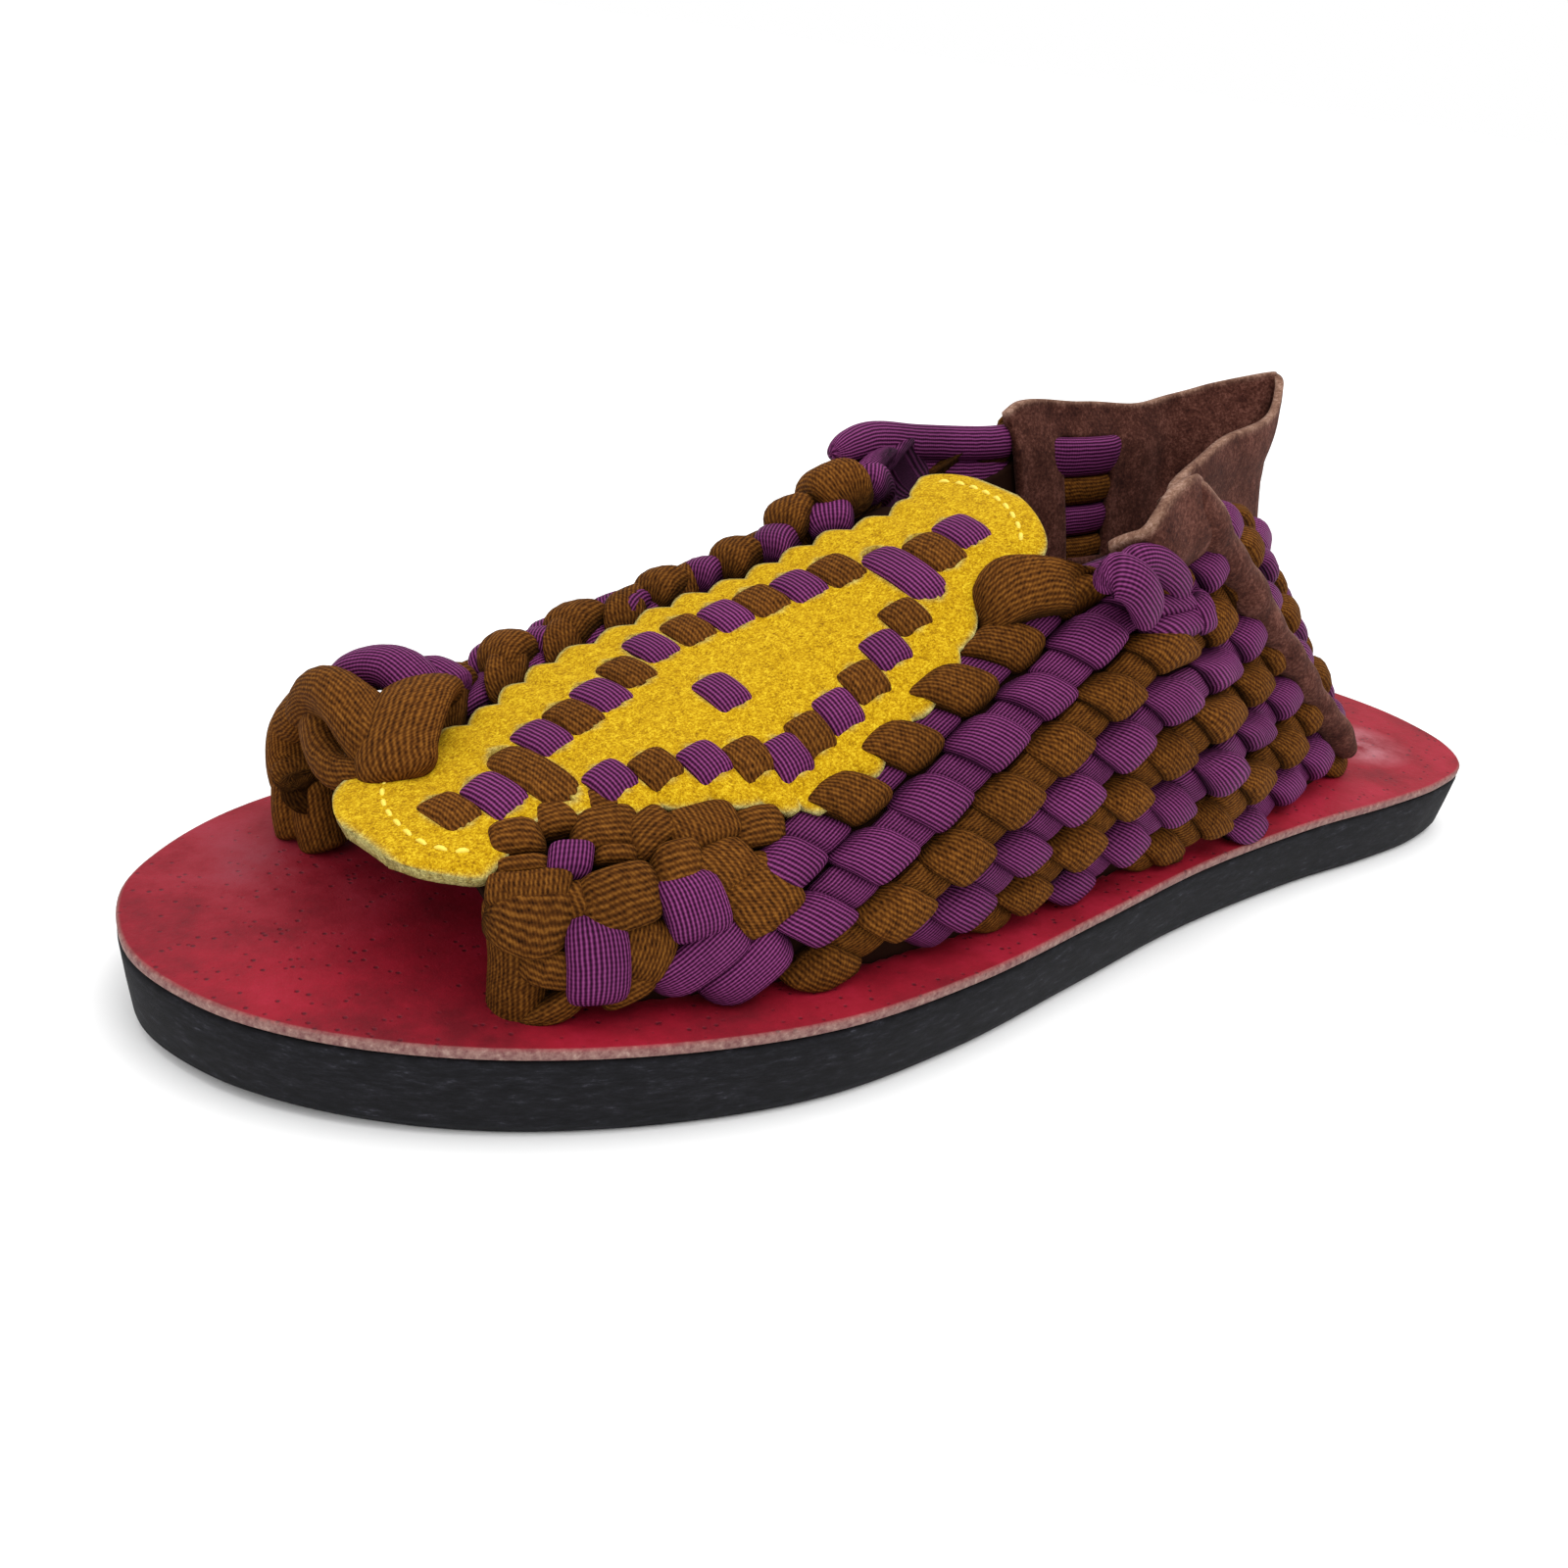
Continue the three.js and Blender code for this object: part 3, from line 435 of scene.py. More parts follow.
# Blocks of a strip on top and of a row between two of them: half length and half width as shares
# of the pitches, rise, half thickness and dip. Near the foot they sink.
over = {"along": 0.56, "across": -0.69, "rise": 1.9, "thick": 2.7, "dip": 4.2}
under = {"along": 0.62, "across": 0.42, "rise": -0.5, "thick": 2.2, "dip": 1.0, "sunk": 0.6}
sinking = {"depth": 2.4, "fade": 12}
uneven = {"place": 0.45, "width": 0.05, "turn": 0.5, "rise": 0.45, "bend": 0.06, "lowRise": 0.3}


def weaveBlocks(side):
    # Plain weave: a crossing strip lies on top where strip and row add up to an odd number and
    # swells there; the row shows as a small low block between two of them
    w = weave[side]
    blocks = {"purple": [], "brown": []}
    for row in range(w["rows"]):
        for strip in range(w["first"], w["last"]):
            x = w["x"] + w["stripX"] * (strip - w["strip"]) + w["rowX"] * row
            arc = w["arc"] + w["stripArc"] * (strip - w["strip"]) + w["rowArc"] * row
            jitter = random.uniform(-1, 1, 4)
            foot = seatArc(side, x, arc)
            sunk = sinking["depth"] * float(smoothStep(arc, foot - sinking["fade"], foot))
            if (strip + row) % 2 == 1:
                colour = "brown" if strip % 2 else "purple"
                entry = (x + uneven["place"] * jitter[0], arc + uneven["place"] * jitter[1],
                         over["along"] * w["rowX"], over["along"] * w["rowArc"],
                         (over["across"] + uneven["width"] * jitter[1]) * w["stripX"],
                         over["across"] * w["stripArc"] + uneven["turn"] * jitter[3],
                         over["rise"] - sunk + uneven["rise"] * jitter[2], over["thick"], over["dip"],
                         uneven["bend"] * jitter[3])
            else:
                colour = "brown" if row in brownRows else "purple"
                entry = (x, arc, under["along"] * w["stripX"], under["along"] * w["stripArc"],
                         under["across"] * w["rowX"], under["across"] * w["rowArc"],
                         under["rise"] - under["sunk"] * sunk + uneven["lowRise"] * jitter[2],
                         under["thick"], under["dip"], 0.0)
            if keepBlock(side, x, arc) and (side < 0 or strip >= firstStrip.get(row, 0)):
                blocks[colour].append([entry[0], side * entry[1], entry[2], side * entry[3], entry[4],
                                       side * entry[5], *entry[6:]])
    return blocks


weaveTop = [
    # place back from the throat, share of the rib at which the weave ends and bare suede goes on
    (-1, 1.2), (0.3, 1.1), (0.6, 0.96), (1.25, 0.96), (1.6, 1.05), (2.2, 1.02), (3, 0.95), (4, 0.84),
    (5, 0.58), (6, 0.34), (7, 0.3),
]


def footArc(x, side):
    # Arc at which the instep comes down to the insole
    points = wallTables[side][0]
    section = points[int(np.clip(x - wall["firstX"], 0, len(points) - 2))]
    return float(np.argmax(section[:, 2] <= insoleTop + wall["footGap"]))


def seatArc(side, x, arc):
    # Arc at which the wall meets the insole, on the quarters or on the instep
    form = wallSides[side]
    return form["rimArc"] + wall["rimShare"] * form["fall"] if throatLine(side, arc) > x else footArc(x, side)


# Limits of the weave: x of the toe edge, last place round the heel, margins in arc at the foot and
# the rim, and the place from which the inner side follows weaveTop
edges = {"toeX": 253, "lastPlace": 6.2, "foot": 0.5, "rim": 2, "innerTopFrom": 3}


def keepBlock(side, x, arc):
    # Inside the wall: not past the toe edge, the rim or the foot, and not past the back seam
    form = wallSides[side]
    back = (throatLine(side, arc) - x) / form["span"]
    foot = footArc(x, side) if back < 0 else form["rimArc"] + wall["rimShare"] * form["fall"]
    rim = 0 if back < 0 else form["rimArc"] - edges["rim"]
    share = wall["rimShare"] - (arc - form["rimArc"]) / form["fall"]
    held = not (side > 0 or back > edges["innerTopFrom"]) or share < readColumn(weaveTop, 1, back)
    return rim < arc < foot - edges["foot"] and x < edges["toeX"] and back < edges["lastPlace"] and held


# Where the lattice starts in the outer rows next to the toe corner
firstStrip = {0: 6, 1: 4, 2: 3, 3: 4}

# Toe corner, where the outer strips turn back round the edge, in the columns of knitBlocks
toeCorner = {
    "brown": [
        (245.5, 21.5, -3.6, 2.8, 0.9, 2, 1.5, 2.8, 2), (246.5, 25.5, -3.8, 2.9, 0.3, 1, 1.2, 2.2, 2),
        (247, 28.5, 1.3, 1.7, -4.9, 3.8, 1.4, 2.6, 2), (247.8, 32, -5.2, 4.6, 1.4, 2.6, 1.4, 3, 2),
        (245.5, 40, -4.6, 5.3, 0.3, 2.3, 0.6, 2.4, 1.6), (241.5, 35, -0.4, 3.1, -2, 1.1, 0.6, 2.2, 1.4),
        (236, 39, -5.7, 2.7, 0, 3.7, 1.5, 3.2, 2.2), (233.5, 30, -4.7, 3.1, 1.3, 2.4, 1, 2.4, 1.6),
        (234.5, 34, -2.9, 2.2, 0.6, 0.8, 1, 2, 1.4), (228.5, 34.6, -4, 0, -0.6, 2.8, 1.2, 2.2, 1.6),
        (227, 41, -3.8, 1.7, 0.7, 2.5, 1.4, 2.8, 2), (221, 38.8, 0.1, 3.6, -5, 1.8, 1, 2.4, 1.8),
        (220.5, 45.5, -1.9, 4.3, -4.4, 0.6, 1, 2.6, 2), (213, 43.6, -4.2, 1.6, 0.9, 2.4, 0.8, 2.2, 1.6),
        (245.5, 47.5, -4.6, 0.6, 0.3, 2.4, 0.2, 2.4, 1.4), (235, 51.5, -3.8, 0.8, 0.3, 2.6, 0.2, 2.4, 1.2),
        (238.5, 23, -3.6, 2.2, 0.9, 2.2, 0.6, 2.4, 1.6), (231.5, 26, -3.6, 2, 0.9, 2.2, 0.6, 2.4, 1.6),
        (234, 47.5, 1.9, 3.2, -3.7, 3.8, 0.8, 2.6, 1.8), (216, 52, -3, 5.9, -4.7, -0.3, 1, 2.6, 2.2),
    ],
    "purple": [
        (240.5, 30, 1.7, 2, -2.9, 2.4, 1.6, 2.6, 2.5), (240, 44, -0.2, 7.4, -4.1, 3, 1.9, 3.2, 2.2),
        (226.5, 46.8, -1.1, 5.8, -4.8, 2, 2.2, 3, 2.8), (225.5, 54.6, -7.2, -0.5, -2.5, 4.2, 0.9, 2.8, 1.8),
        (218, 61.5, -6.4, -1.7, -2.6, 4.2, 0.6, 2.8, 1.6), (210.5, 50.5, -4.2, 4.2, -4, -1, 1.3, 2.6, 2.6),
    ],
}
# Loops and knots at the outer end of the collar
collarLoops = {
    "brown": [(156, 34.5, -8.5, 2, -1.2, -5, 4, 4.2, 4, 0.25),
              (137, 39.5, -3, 2.5, -2.5, -2.6, 1.5, 2.6, 2)],
    "purple": [(131, 47.5, -3.6, 3.6, -4.6, -3.4, 1.6, 3.2, 2.6),
               (129.5, 46.5, -2.6, 4.6, -1.6, -0.6, 4.2, 1.2, 1.6)],
}
# Turned-back strips along the rim of the inner side, seen past the leaf
innerRim = {
    "brown": [(232, -19, -4.5, -2, -1, 4, 2.2, 3.6, 2.4), (221, -17.5, -5, -2, -1, 4.4, 2.6, 3.8, 2.4),
              (207.5, -17, -5.5, -2, -1.5, 4.2, 2.4, 3.8, 2.4),
              (191.5, -14.5, -4.4, -1.6, -1, 4.2, 2.4, 3.6, 2.4),
              (179, -11, -4.2, -2, -1, 4, 2.6, 3.4, 2.4), (166.5, -12, -4.8, -3.4, -1.5, 3.4, 4.2, 3.4, 3),
              (157, -12.5, -1.5, -6.5, -5, 0.5, 5.4, 4.4, 4), (241.5, -21, -4, -2.5, -1.5, 4, 2, 3.4, 2.2)],
    "purple": [(198.5, -15, -4, -1.5, -1, 3.6, 1.6, 3.2, 2), (184.5, -13, -3.4, -1.6, -1, 3.6, 1.8, 3, 2),
               (172.5, -9, -3.4, -2.4, -1, 3.6, 2, 3.2, 2), (162.5, -8, -3, -3.6, -2.6, 2.8, 1.6, 3, 2),
               (149, -14, -4.6, -3.4, -2, 3.6, 3, 3.6, 2.6), (214.5, -17.5, -3.2, -1.6, -1, 3.6, 1.4, 3, 2)],
}

# The corner's blocks swell in length and width; behind the instep each block has its inner face
cornerSwell, cornerRise = {"purple": 0.96, "brown": 1.1}, 0.3
innerFace = {"level": -4.2, "follow": 0.4, "past": 4}
for side, label in ((1, "outer"), (-1, "inner")):
    made = weaveBlocks(side)
    for colour, material in knits.items():
        corner = [(*row[:2], *(cornerSwell[colour] * value for value in row[2:6]), row[6] + cornerRise,
                   *row[7:]) for row in toeCorner[colour]]
        extra = corner + collarLoops[colour] if side > 0 else []
        hangOn(knitBlocks(f"{colour}_strips_{label}", made[colour] + extra, material))
        inside = [(*row[:6], innerFace["level"] - innerFace["follow"] * row[6], row[7], -row[8], 0)
                  for row in made[colour] if row[0] > throatLine(side, abs(row[1])) + innerFace["past"]]
        hangOn(knitBlocks(f"{colour}_strips_{label}_lining", inside, material, hiddenGrid))
for colour, material in knits.items():
    hangOn(knitBlocks(f"{colour}_inner_rim", innerRim[colour], material, tables=instepTables))
print("weave made")


def sheet(name, points, thickness, material, rim=None, keep=None, flip=False):
    # Grid of points made a surface, with the faces marked by keep, then given its thickness to
    # both sides. UV is millimetres along and across it.
    rows, columns = points.shape[:2]
    faces = gridFaces(rows, columns, flip=flip)
    if keep is not None:
        faces = faces[keep.ravel()]
    along = np.cumsum(np.linalg.norm(np.diff(points, axis=0, prepend=points[:1]), axis=-1), axis=0)
    across = np.cumsum(np.linalg.norm(np.diff(points, axis=1, prepend=points[:, :1]), axis=-1), axis=1)
    uv = np.stack([along, across], -1)
    made = makeObject(name, points.reshape(-1, 3), faces, material, np.reshape(uv, (-1, 2)),
                      None if rim is None else rim.ravel())
    wallMaker = made.modifiers.new("thickness", "SOLIDIFY")
    wallMaker.thickness, wallMaker.offset, wallMaker.use_even_offset = thickness * mm, 0.0, False
    return made


# Base of the wall, the strips' hidden middle layer, which closes the gaps between the blocks; its
# near-black colour is painted shade in those gaps
gapShadeKnit, gapShadeShader = newMaterial("shaded knit", {"Base Color": hexColour("22120c"), "Roughness": 0.95,
                                                   "Specular IOR Level": 0.03})
baseLook = {"front": 252.0, "instepArc": 64, "level": -2.4, "thickness": 1.6, "places": (-0.5, 6.15),
            "belowTop": 0.1, "aboveFoot": 0.02, "columns": 60, "rows": 90}
for side, label in ((1, "outer"), (-1, "inner")):
    form = wallSides[side]
    footAt = np.array([footArc(x, side) for x in instepX])
    across = np.linspace(0, 1, baseLook["columns"])[None, :]
    lineX = throatLine(side, np.maximum(across * baseLook["instepArc"], form["rimArc"] - wall["straight"]))
    x = baseLook["front"] + (lineX - baseLook["front"]) * np.linspace(0, 1, baseLook["rows"])[:, None]
    arc = np.interp(x, instepX, footAt) * across
    instepBase = wallPoints(x, arc * side, baseLook["level"] + 0 * x, instepTables)
    places = np.linspace(*baseLook["places"], baseLook["rows"])[:, None]
    top = readColumn(weaveTop, 1, places.ravel())[:, None] - baseLook["belowTop"]
    top = np.minimum(top, wall["rimShare"])
    arc = form["rimArc"] + form["fall"] * (wall["rimShare"] - top + (top - baseLook["aboveFoot"]) * across)
    x = throatLine(side, arc) - places * form["span"]
    quarterBase = wallPoints(x, arc * side, baseLook["level"] + 0 * x)
    for part, points in (("instep", instepBase), ("quarter", quarterBase)):
        hangOn(sheet(f"{part}_base_{label}", points, baseLook["thickness"], gapShadeKnit, flip=side < 0))
print("base made")


def tube(name, path, size, material, facing=(0, 0, 1), folds=(0.0, 3, 0.0), rings=60, around=24):
    # Tube along a smooth path through the points. Size is half width across and half thickness
    # towards facing; folds are depth, number and twist of the grooves along it, as
    # radius * (1 + depth * sin(number * angle + twist * u)). The ends close as a rounded cap.
    points = np.column_stack([range(len(path)), np.array(path, float)])
    u = np.linspace(0, len(path) - 1, rings)
    centre = np.stack([readColumn(points, column, u) for column in (1, 2, 3)], -1)
    forward = unit(np.gradient(centre, axis=0))
    sideways = unit(np.cross(forward, np.asarray(facing, float)))
    outward = np.cross(sideways, forward)
    angle = np.linspace(0, 2 * np.pi, around, endpoint=False)[None] - np.pi / 2
    share = np.linspace(-1, 1, rings)[:, None]
    radius = np.maximum(1 - np.abs(share) ** 9, 0) ** 0.5
    radius = radius * (1 + folds[0] * np.sin(folds[1] * angle + folds[2] * share))
    ring = (centre[:, None] + sideways[:, None] * (size[0] * radius * np.cos(angle))[..., None]
            + outward[:, None] * (size[1] * radius * np.sin(angle))[..., None])
    steps = np.linalg.norm(np.diff(centre, axis=0, prepend=centre[:1]), axis=1)
    walked = np.cumsum(steps)[:, None] + 0 * angle
    roundabout = (angle - np.pi / 2) * (size[0] + size[1]) / 2 + 0 * share
    return makeObject(name, ring.reshape(-1, 3), gridFaces(rings, around, closeColumns=True), material,
                      np.stack([walked, roundabout], -1).reshape(-1, 2), poles=True)


# Sole

def closedCurve(points, count):
    # Smooth closed curve through the points, each span a cubic with centripetal spacing
    points = np.asarray(points, float)
    n = len(points)
    span = np.linspace(0, n, count, endpoint=False)
    i = span.astype(int)
    p = [points[(i + k) % n] for k in (-1, 0, 1, 2)]
    step = [np.sqrt(np.linalg.norm(p[k + 1] - p[k], axis=1)) for k in range(3)]
    slopeA = ((p[1] - p[0]) / step[0][:, None] - (p[2] - p[0]) / (step[0] + step[1])[:, None]
              + (p[2] - p[1]) / step[1][:, None]) * step[1][:, None]
    slopeB = ((p[2] - p[1]) / step[1][:, None] - (p[3] - p[1]) / (step[1] + step[2])[:, None]
              + (p[3] - p[2]) / step[2][:, None]) * step[1][:, None]
    t = (span - i)[:, None]
    return cubic(t, p[1], p[2], slopeA, slopeB)


outlinePoints = ([(sole["length"], sole["apexSide"] * sole["ball"])]
                 + [(a * sole["length"], o * sole["ball"]) for a, o, i in reversed(soleOutline)]
                 + [(a * sole["length"], i * sole["ball"]) for a, o, i in soleOutline])
outline = closedCurve(outlinePoints, sole["steps"])
tangent = unit(np.roll(outline, -1, axis=0) - np.roll(outline, 1, axis=0))
inward = np.stack([-tangent[:, 1], tangent[:, 0]], -1)
toeBevel = smoothStep(outline[:, 0], sole["bevelFrom"] * sole["length"], sole["length"])


def slab(name, profile, material):
    # Slab with the sole's outline: each ring is the outline moved inward, at one level, and the
    # first and last ring are closed flat. Profile columns: inset, extra inset at the toe, level, rim.
    count = len(outline)
    rings = [np.column_stack([outline + inward * (inset + extra * toeBevel)[:, None], np.full(count, level)])
             for inset, extra, level, rim in profile]
    rim = np.repeat([row[3] for row in profile], count)
    faces = gridFaces(len(rings), count, closeColumns=True, flip=True).tolist()
    faces += [list(range(count))[::-1], [(len(rings) - 1) * count + k for k in range(count)]]
    return makeObject(name, np.concatenate(rings), faces, material, rim=rim, poles=True)


# Expanded rubber sheet, cut and ground at the edge: matt, nearly black, with grey dust and scuffs
rubber, rubberShader = newMaterial("black sponge rubber", {"Roughness": 0.82, "Specular IOR Level": 0.18})
stretched = addNode(rubber, "ShaderNodeMapping", {"Scale": (1.0, 1.0, 3.5)},
                    {"Vector": (addNode(rubber, "ShaderNodeTexCoord"), "Object")})
dust = noise(rubber, (stretched, "Vector"), 260.0, 8.0, 0.78)
dusty = ramp(rubber, dust, ((0.32, "060608"), (0.5, "111115"), (0.6, "1b1b20"), (0.7, "3e3e46")))
link(rubber, dusty, rubberShader, "Base Color")
addBump(rubber, rubberShader, dust, 0.5, 0.3)

# Dyed pigskin, plated smooth: a cherry red with the hair pores in small groups, worn grey at the
# toe and chalky behind the heel, and a raw pinkish edge where the knife cut it
leatherLook = {
    "poreSpacing": 1.9, "pore": 0.24, "raw": ((0.3, "5e3236"), (0.6, "907068"), (0.8, "bca498")),
    # worn place, its reach in metres, colour and strength: the toe and the heel
    "wear": (((0.118, -0.022, 0.016), 0.03, "6a4048", 0.5), ((-0.118, 0.018, 0.016), 0.014, "d0b0b8", 0.6)),
}
leather, leatherShader = newMaterial("red pigskin leather", {"Roughness": 0.62, "Specular IOR Level": 0.2})
leatherSpot = addNode(leather, "ShaderNodeTexCoord"), "Object"
mottle = noise(leather, leatherSpot, 38.0, 7.0, 0.68)
grain = noise(leather, leatherSpot, 900.0, 4.0, 0.7)
pores = addNode(leather, "ShaderNodeTexVoronoi", {"Scale": 1000 / leatherLook["poreSpacing"]},
                {"Vector": leatherSpot}), "Distance"
groups = remap(leather, noise(leather, leatherSpot, 170.0, 1.0), 0.42, 0.47, 0.0, 1.0)
poreDepth = calculate(leather, "MULTIPLY", remap(leather, pores, 0.1, leatherLook["pore"], 1.0, 0.0), groups)
dyed = ramp(leather, mottle, ((0.3, "640a18"), (0.5, "8e1024"), (0.7, "a81c36")))
worn = mixColours(leather, poreDepth, dyed, "560b1a")
patchy = remap(leather, mottle, 0.42, 0.6, 0.0, 1.0)
for centre, reach, colour, most in leatherLook["wear"]:
    away = addNode(leather, "ShaderNodeVectorMath", {"operation": "DISTANCE", 1: centre}, {0: leatherSpot})
    mask = remap(leather, (away, "Value"), 0.0, reach, most, 0.0)
    worn = mixColours(leather, calculate(leather, "MULTIPLY", mask, patchy), worn, colour)
rawEdge = addNode(leather, "ShaderNodeAttribute", {"attribute_name": "rim"}), "Fac"
edged = mixColours(leather, rawEdge, worn, ramp(leather, grain, leatherLook["raw"]))
link(leather, edged, leatherShader, "Base Color")
addBump(leather, leatherShader, calculate(leather, "MULTIPLY_ADD", poreDepth, -1.6, grain), 0.5, 0.22)
outsole = slab("rubber_sole", [(3.9, 2.2, 0, 0), (2.6, 1.2, 0.5, 0), (sole["undercut"], 0, sole["corner"], 0),
                               (0.85, 0, 7.5, 0), (0.1, 0, 13, 0), (0.5, 0, sole["rubber"], 0)], rubber)
insole = slab("leather_insole", [(0.5, 0, 13.9, 1), (0.1, 0, 14.3, 1), (0, 0, 15.5, 0.9),
                                 (0.3, 0, 15.9, 0.45), (0.6, 0, 15.9, 0)], leather)
for piece, slot, node in ((outsole, "sole_rubber", "outsole"), (insole, "insole_leather", "insole")):
    hangOn(piece, node)
print("sole made")

# Suede


def suedeMaterial(name, look):
    # Split leather with a brushed nap: matt, with a soft sheen and small light and dark clouds
    # where the nap lies one way or the other; raw grey fibres along a cut edge
    material, shader = newMaterial(name, clothSettings(look, 0.5))
    spot = addNode(material, "ShaderNodeTexCoord"), "Object"
    clouds = noise(material, spot, look["cloudScale"], 8.0, 0.72)
    fibres = noise(material, spot, look["fibreScale"], 3.0, 0.75)
    cloudPart = calculate(material, "MULTIPLY", clouds, 1 - look["fibre"])
    nap = calculate(material, "MULTIPLY_ADD", fibres, look["fibre"], cloudPart)
    rim = addNode(material, "ShaderNodeAttribute", {"attribute_name": "rim"}), "Fac"
    ragged = calculate(material, "ADD", rim, calculate(material, "MULTIPLY_ADD", clouds, 1.6, -0.8))
    ragged[0].use_clamp = True
    bare = calculate(material, "MULTIPLY", ragged, rim)
    mixed = mixColours(material, bare, ramp(material, nap, look["stops"]), ramp(material, nap, look["edge"]))
    link(material, mixed, shader, "Base Color")
    addBump(material, shader, nap, 0.8, look["relief"])
    return material


yellowSuede = suedeMaterial("yellow dyed suede", {
    "roughness": 0.95, "gloss": 0.08, "sheen": 0.08, "light": "f2dc80", "cloudScale": 800.0,
    "fibreScale": 2600.0, "fibre": 0.6, "relief": 0.3,
    "stops": ((0.36, "785004"), (0.5, "b98e06"), (0.63, "e2c228")),
    "edge": ((0.38, "5f5838"), (0.5, "968b54"), (0.62, "c4b878"))})
brownSuede = suedeMaterial("maroon brown suede", {
    "roughness": 0.95, "gloss": 0.08, "sheen": 0.2, "light": "8a6a62", "cloudScale": 160.0,
    "fibreScale": 1500.0, "fibre": 0.5, "relief": 0.5,
    "stops": ((0.38, "260f0d"), (0.5, "46261e"), (0.62, "6c443a")),
    "edge": ((0.38, "5c3c34"), (0.5, "80604f"), (0.62, "a88878"))})
thread, threadShader = newMaterial("waxed yellow thread", {"Base Color": hexColour("ecd44c"),
                                                           "Roughness": 0.5})

# Leaf of yellow suede over the instep
leaf = {"firstX": 249.1, "pitch": 6.3, "thickness": 1.9, "level": 1.9, "columns": 120, "windowHalf": 0.47,
        "slitEnd": 0.04, "scallop": 1.6, "puff": 0.22, "front": -0.95, "rear": 18.4, "skew": 0.15,
        "shorter": 1.7, "tabRows": 16, "tongueRows": 24, "bodyStrips": 16, "lipRise": 0.35, "lipReach": 1.4,
        "edgeDrop": 0.5, "edgeReach": 1.5, "rawEdge": 1.1, "rawLip": 0.7, "rawLipShare": 0.75}
stitch = {"inset": 4.0, "pitch": 3.1, "half": 1.15, "thread": 0.38, "rise": 2.9, "dip": 0.5}
windowStrip = {"tuck": 1.4, "halfWidth": 0.52, "rise": 2.5, "thick": 1.9, "dip": 2.4}
leafRows = [
    # strip from the toe, inner edge and outer edge as arcs, inner and outer window, half length
    (-0.95, 4, 14, 0, 0, 0), (-0.65, -2, 18, 0, 0, 0), (-0.2, -6.5, 21, 0, 0, 0), (0.4, -9, 23.6, 0, 0, 0),
    (1, -9, 22.6, 10.5, 10.5, 4.8), (2, -7.5, 21.5, 13, 13, 5.8), (3, -7, 26, 14.3, 14.3, 9.8),
    (4, -6.5, 32, 9, 24.6, 5.2), (5, -7.5, 36, 9, 27.6, 5.2), (6, -8.5, 40, 8, 31.2, 5.2),
    (7, -8.5, 44, 6, 34.4, 5.2), (8, -8, 46.3, 3, 37.2, 5.2), (9, -7.8, 46.8, 3.5, 36, 5.2),
    (10, -7, 46, 5, 35, 5.2), (11, -5, 44.2, 6, 33, 5.2), (12, -4, 41.8, 7.5, 30, 5.2),
    (13, -3.5, 39.5, 9, 26.5, 5.2), (14, -2.5, 35, 17.8, 17.8, 9.4), (15, 0, 31.5, 17.5, 17.5, 5.8),
    (16, 0.5, 29.5, 16.5, 16.5, 4.8), (17, -3, 29.5, 0, 0, 0), (17.5, -4.5, 26.5, 0, 0, 0),
    (18, -2, 20.5, 0, 0, 0), (18.4, 3.5, 14, 0, 0, 0),
]
centreWindow = (8, 21.0, 4.6)
# Windows: strip, arc of the middle and half length; the outer one of a pair is shorter
windows = [(row[0], arc, row[5] - leaf["shorter"] * (arc > row[3]))
           for row in leafRows if row[5] for arc in sorted({row[3], row[4]})]
windows.append(centreWindow)


def leafX(strip, arc=18.0):
    # The strips near the toe run a little askew
    askew = leaf["skew"] * (18 - arc) * (1 - smoothStep(strip, 6, 9.5))
    return leaf["firstX"] - leaf["pitch"] * (strip - 1) + askew


def leafEdges(strip):
    # Inner and outer edge as arcs, with one scallop over each strip between the two end tabs
    wave = leaf["scallop"] * (np.abs(np.cos(np.pi * strip)) - 0.6)
    wave = wave * smoothStep(strip, 0.4, 1.0) * (1 - smoothStep(strip, 16.2, 16.8))
    return readColumn(leafRows, 1, strip) - wave, readColumn(leafRows, 2, strip) + wave


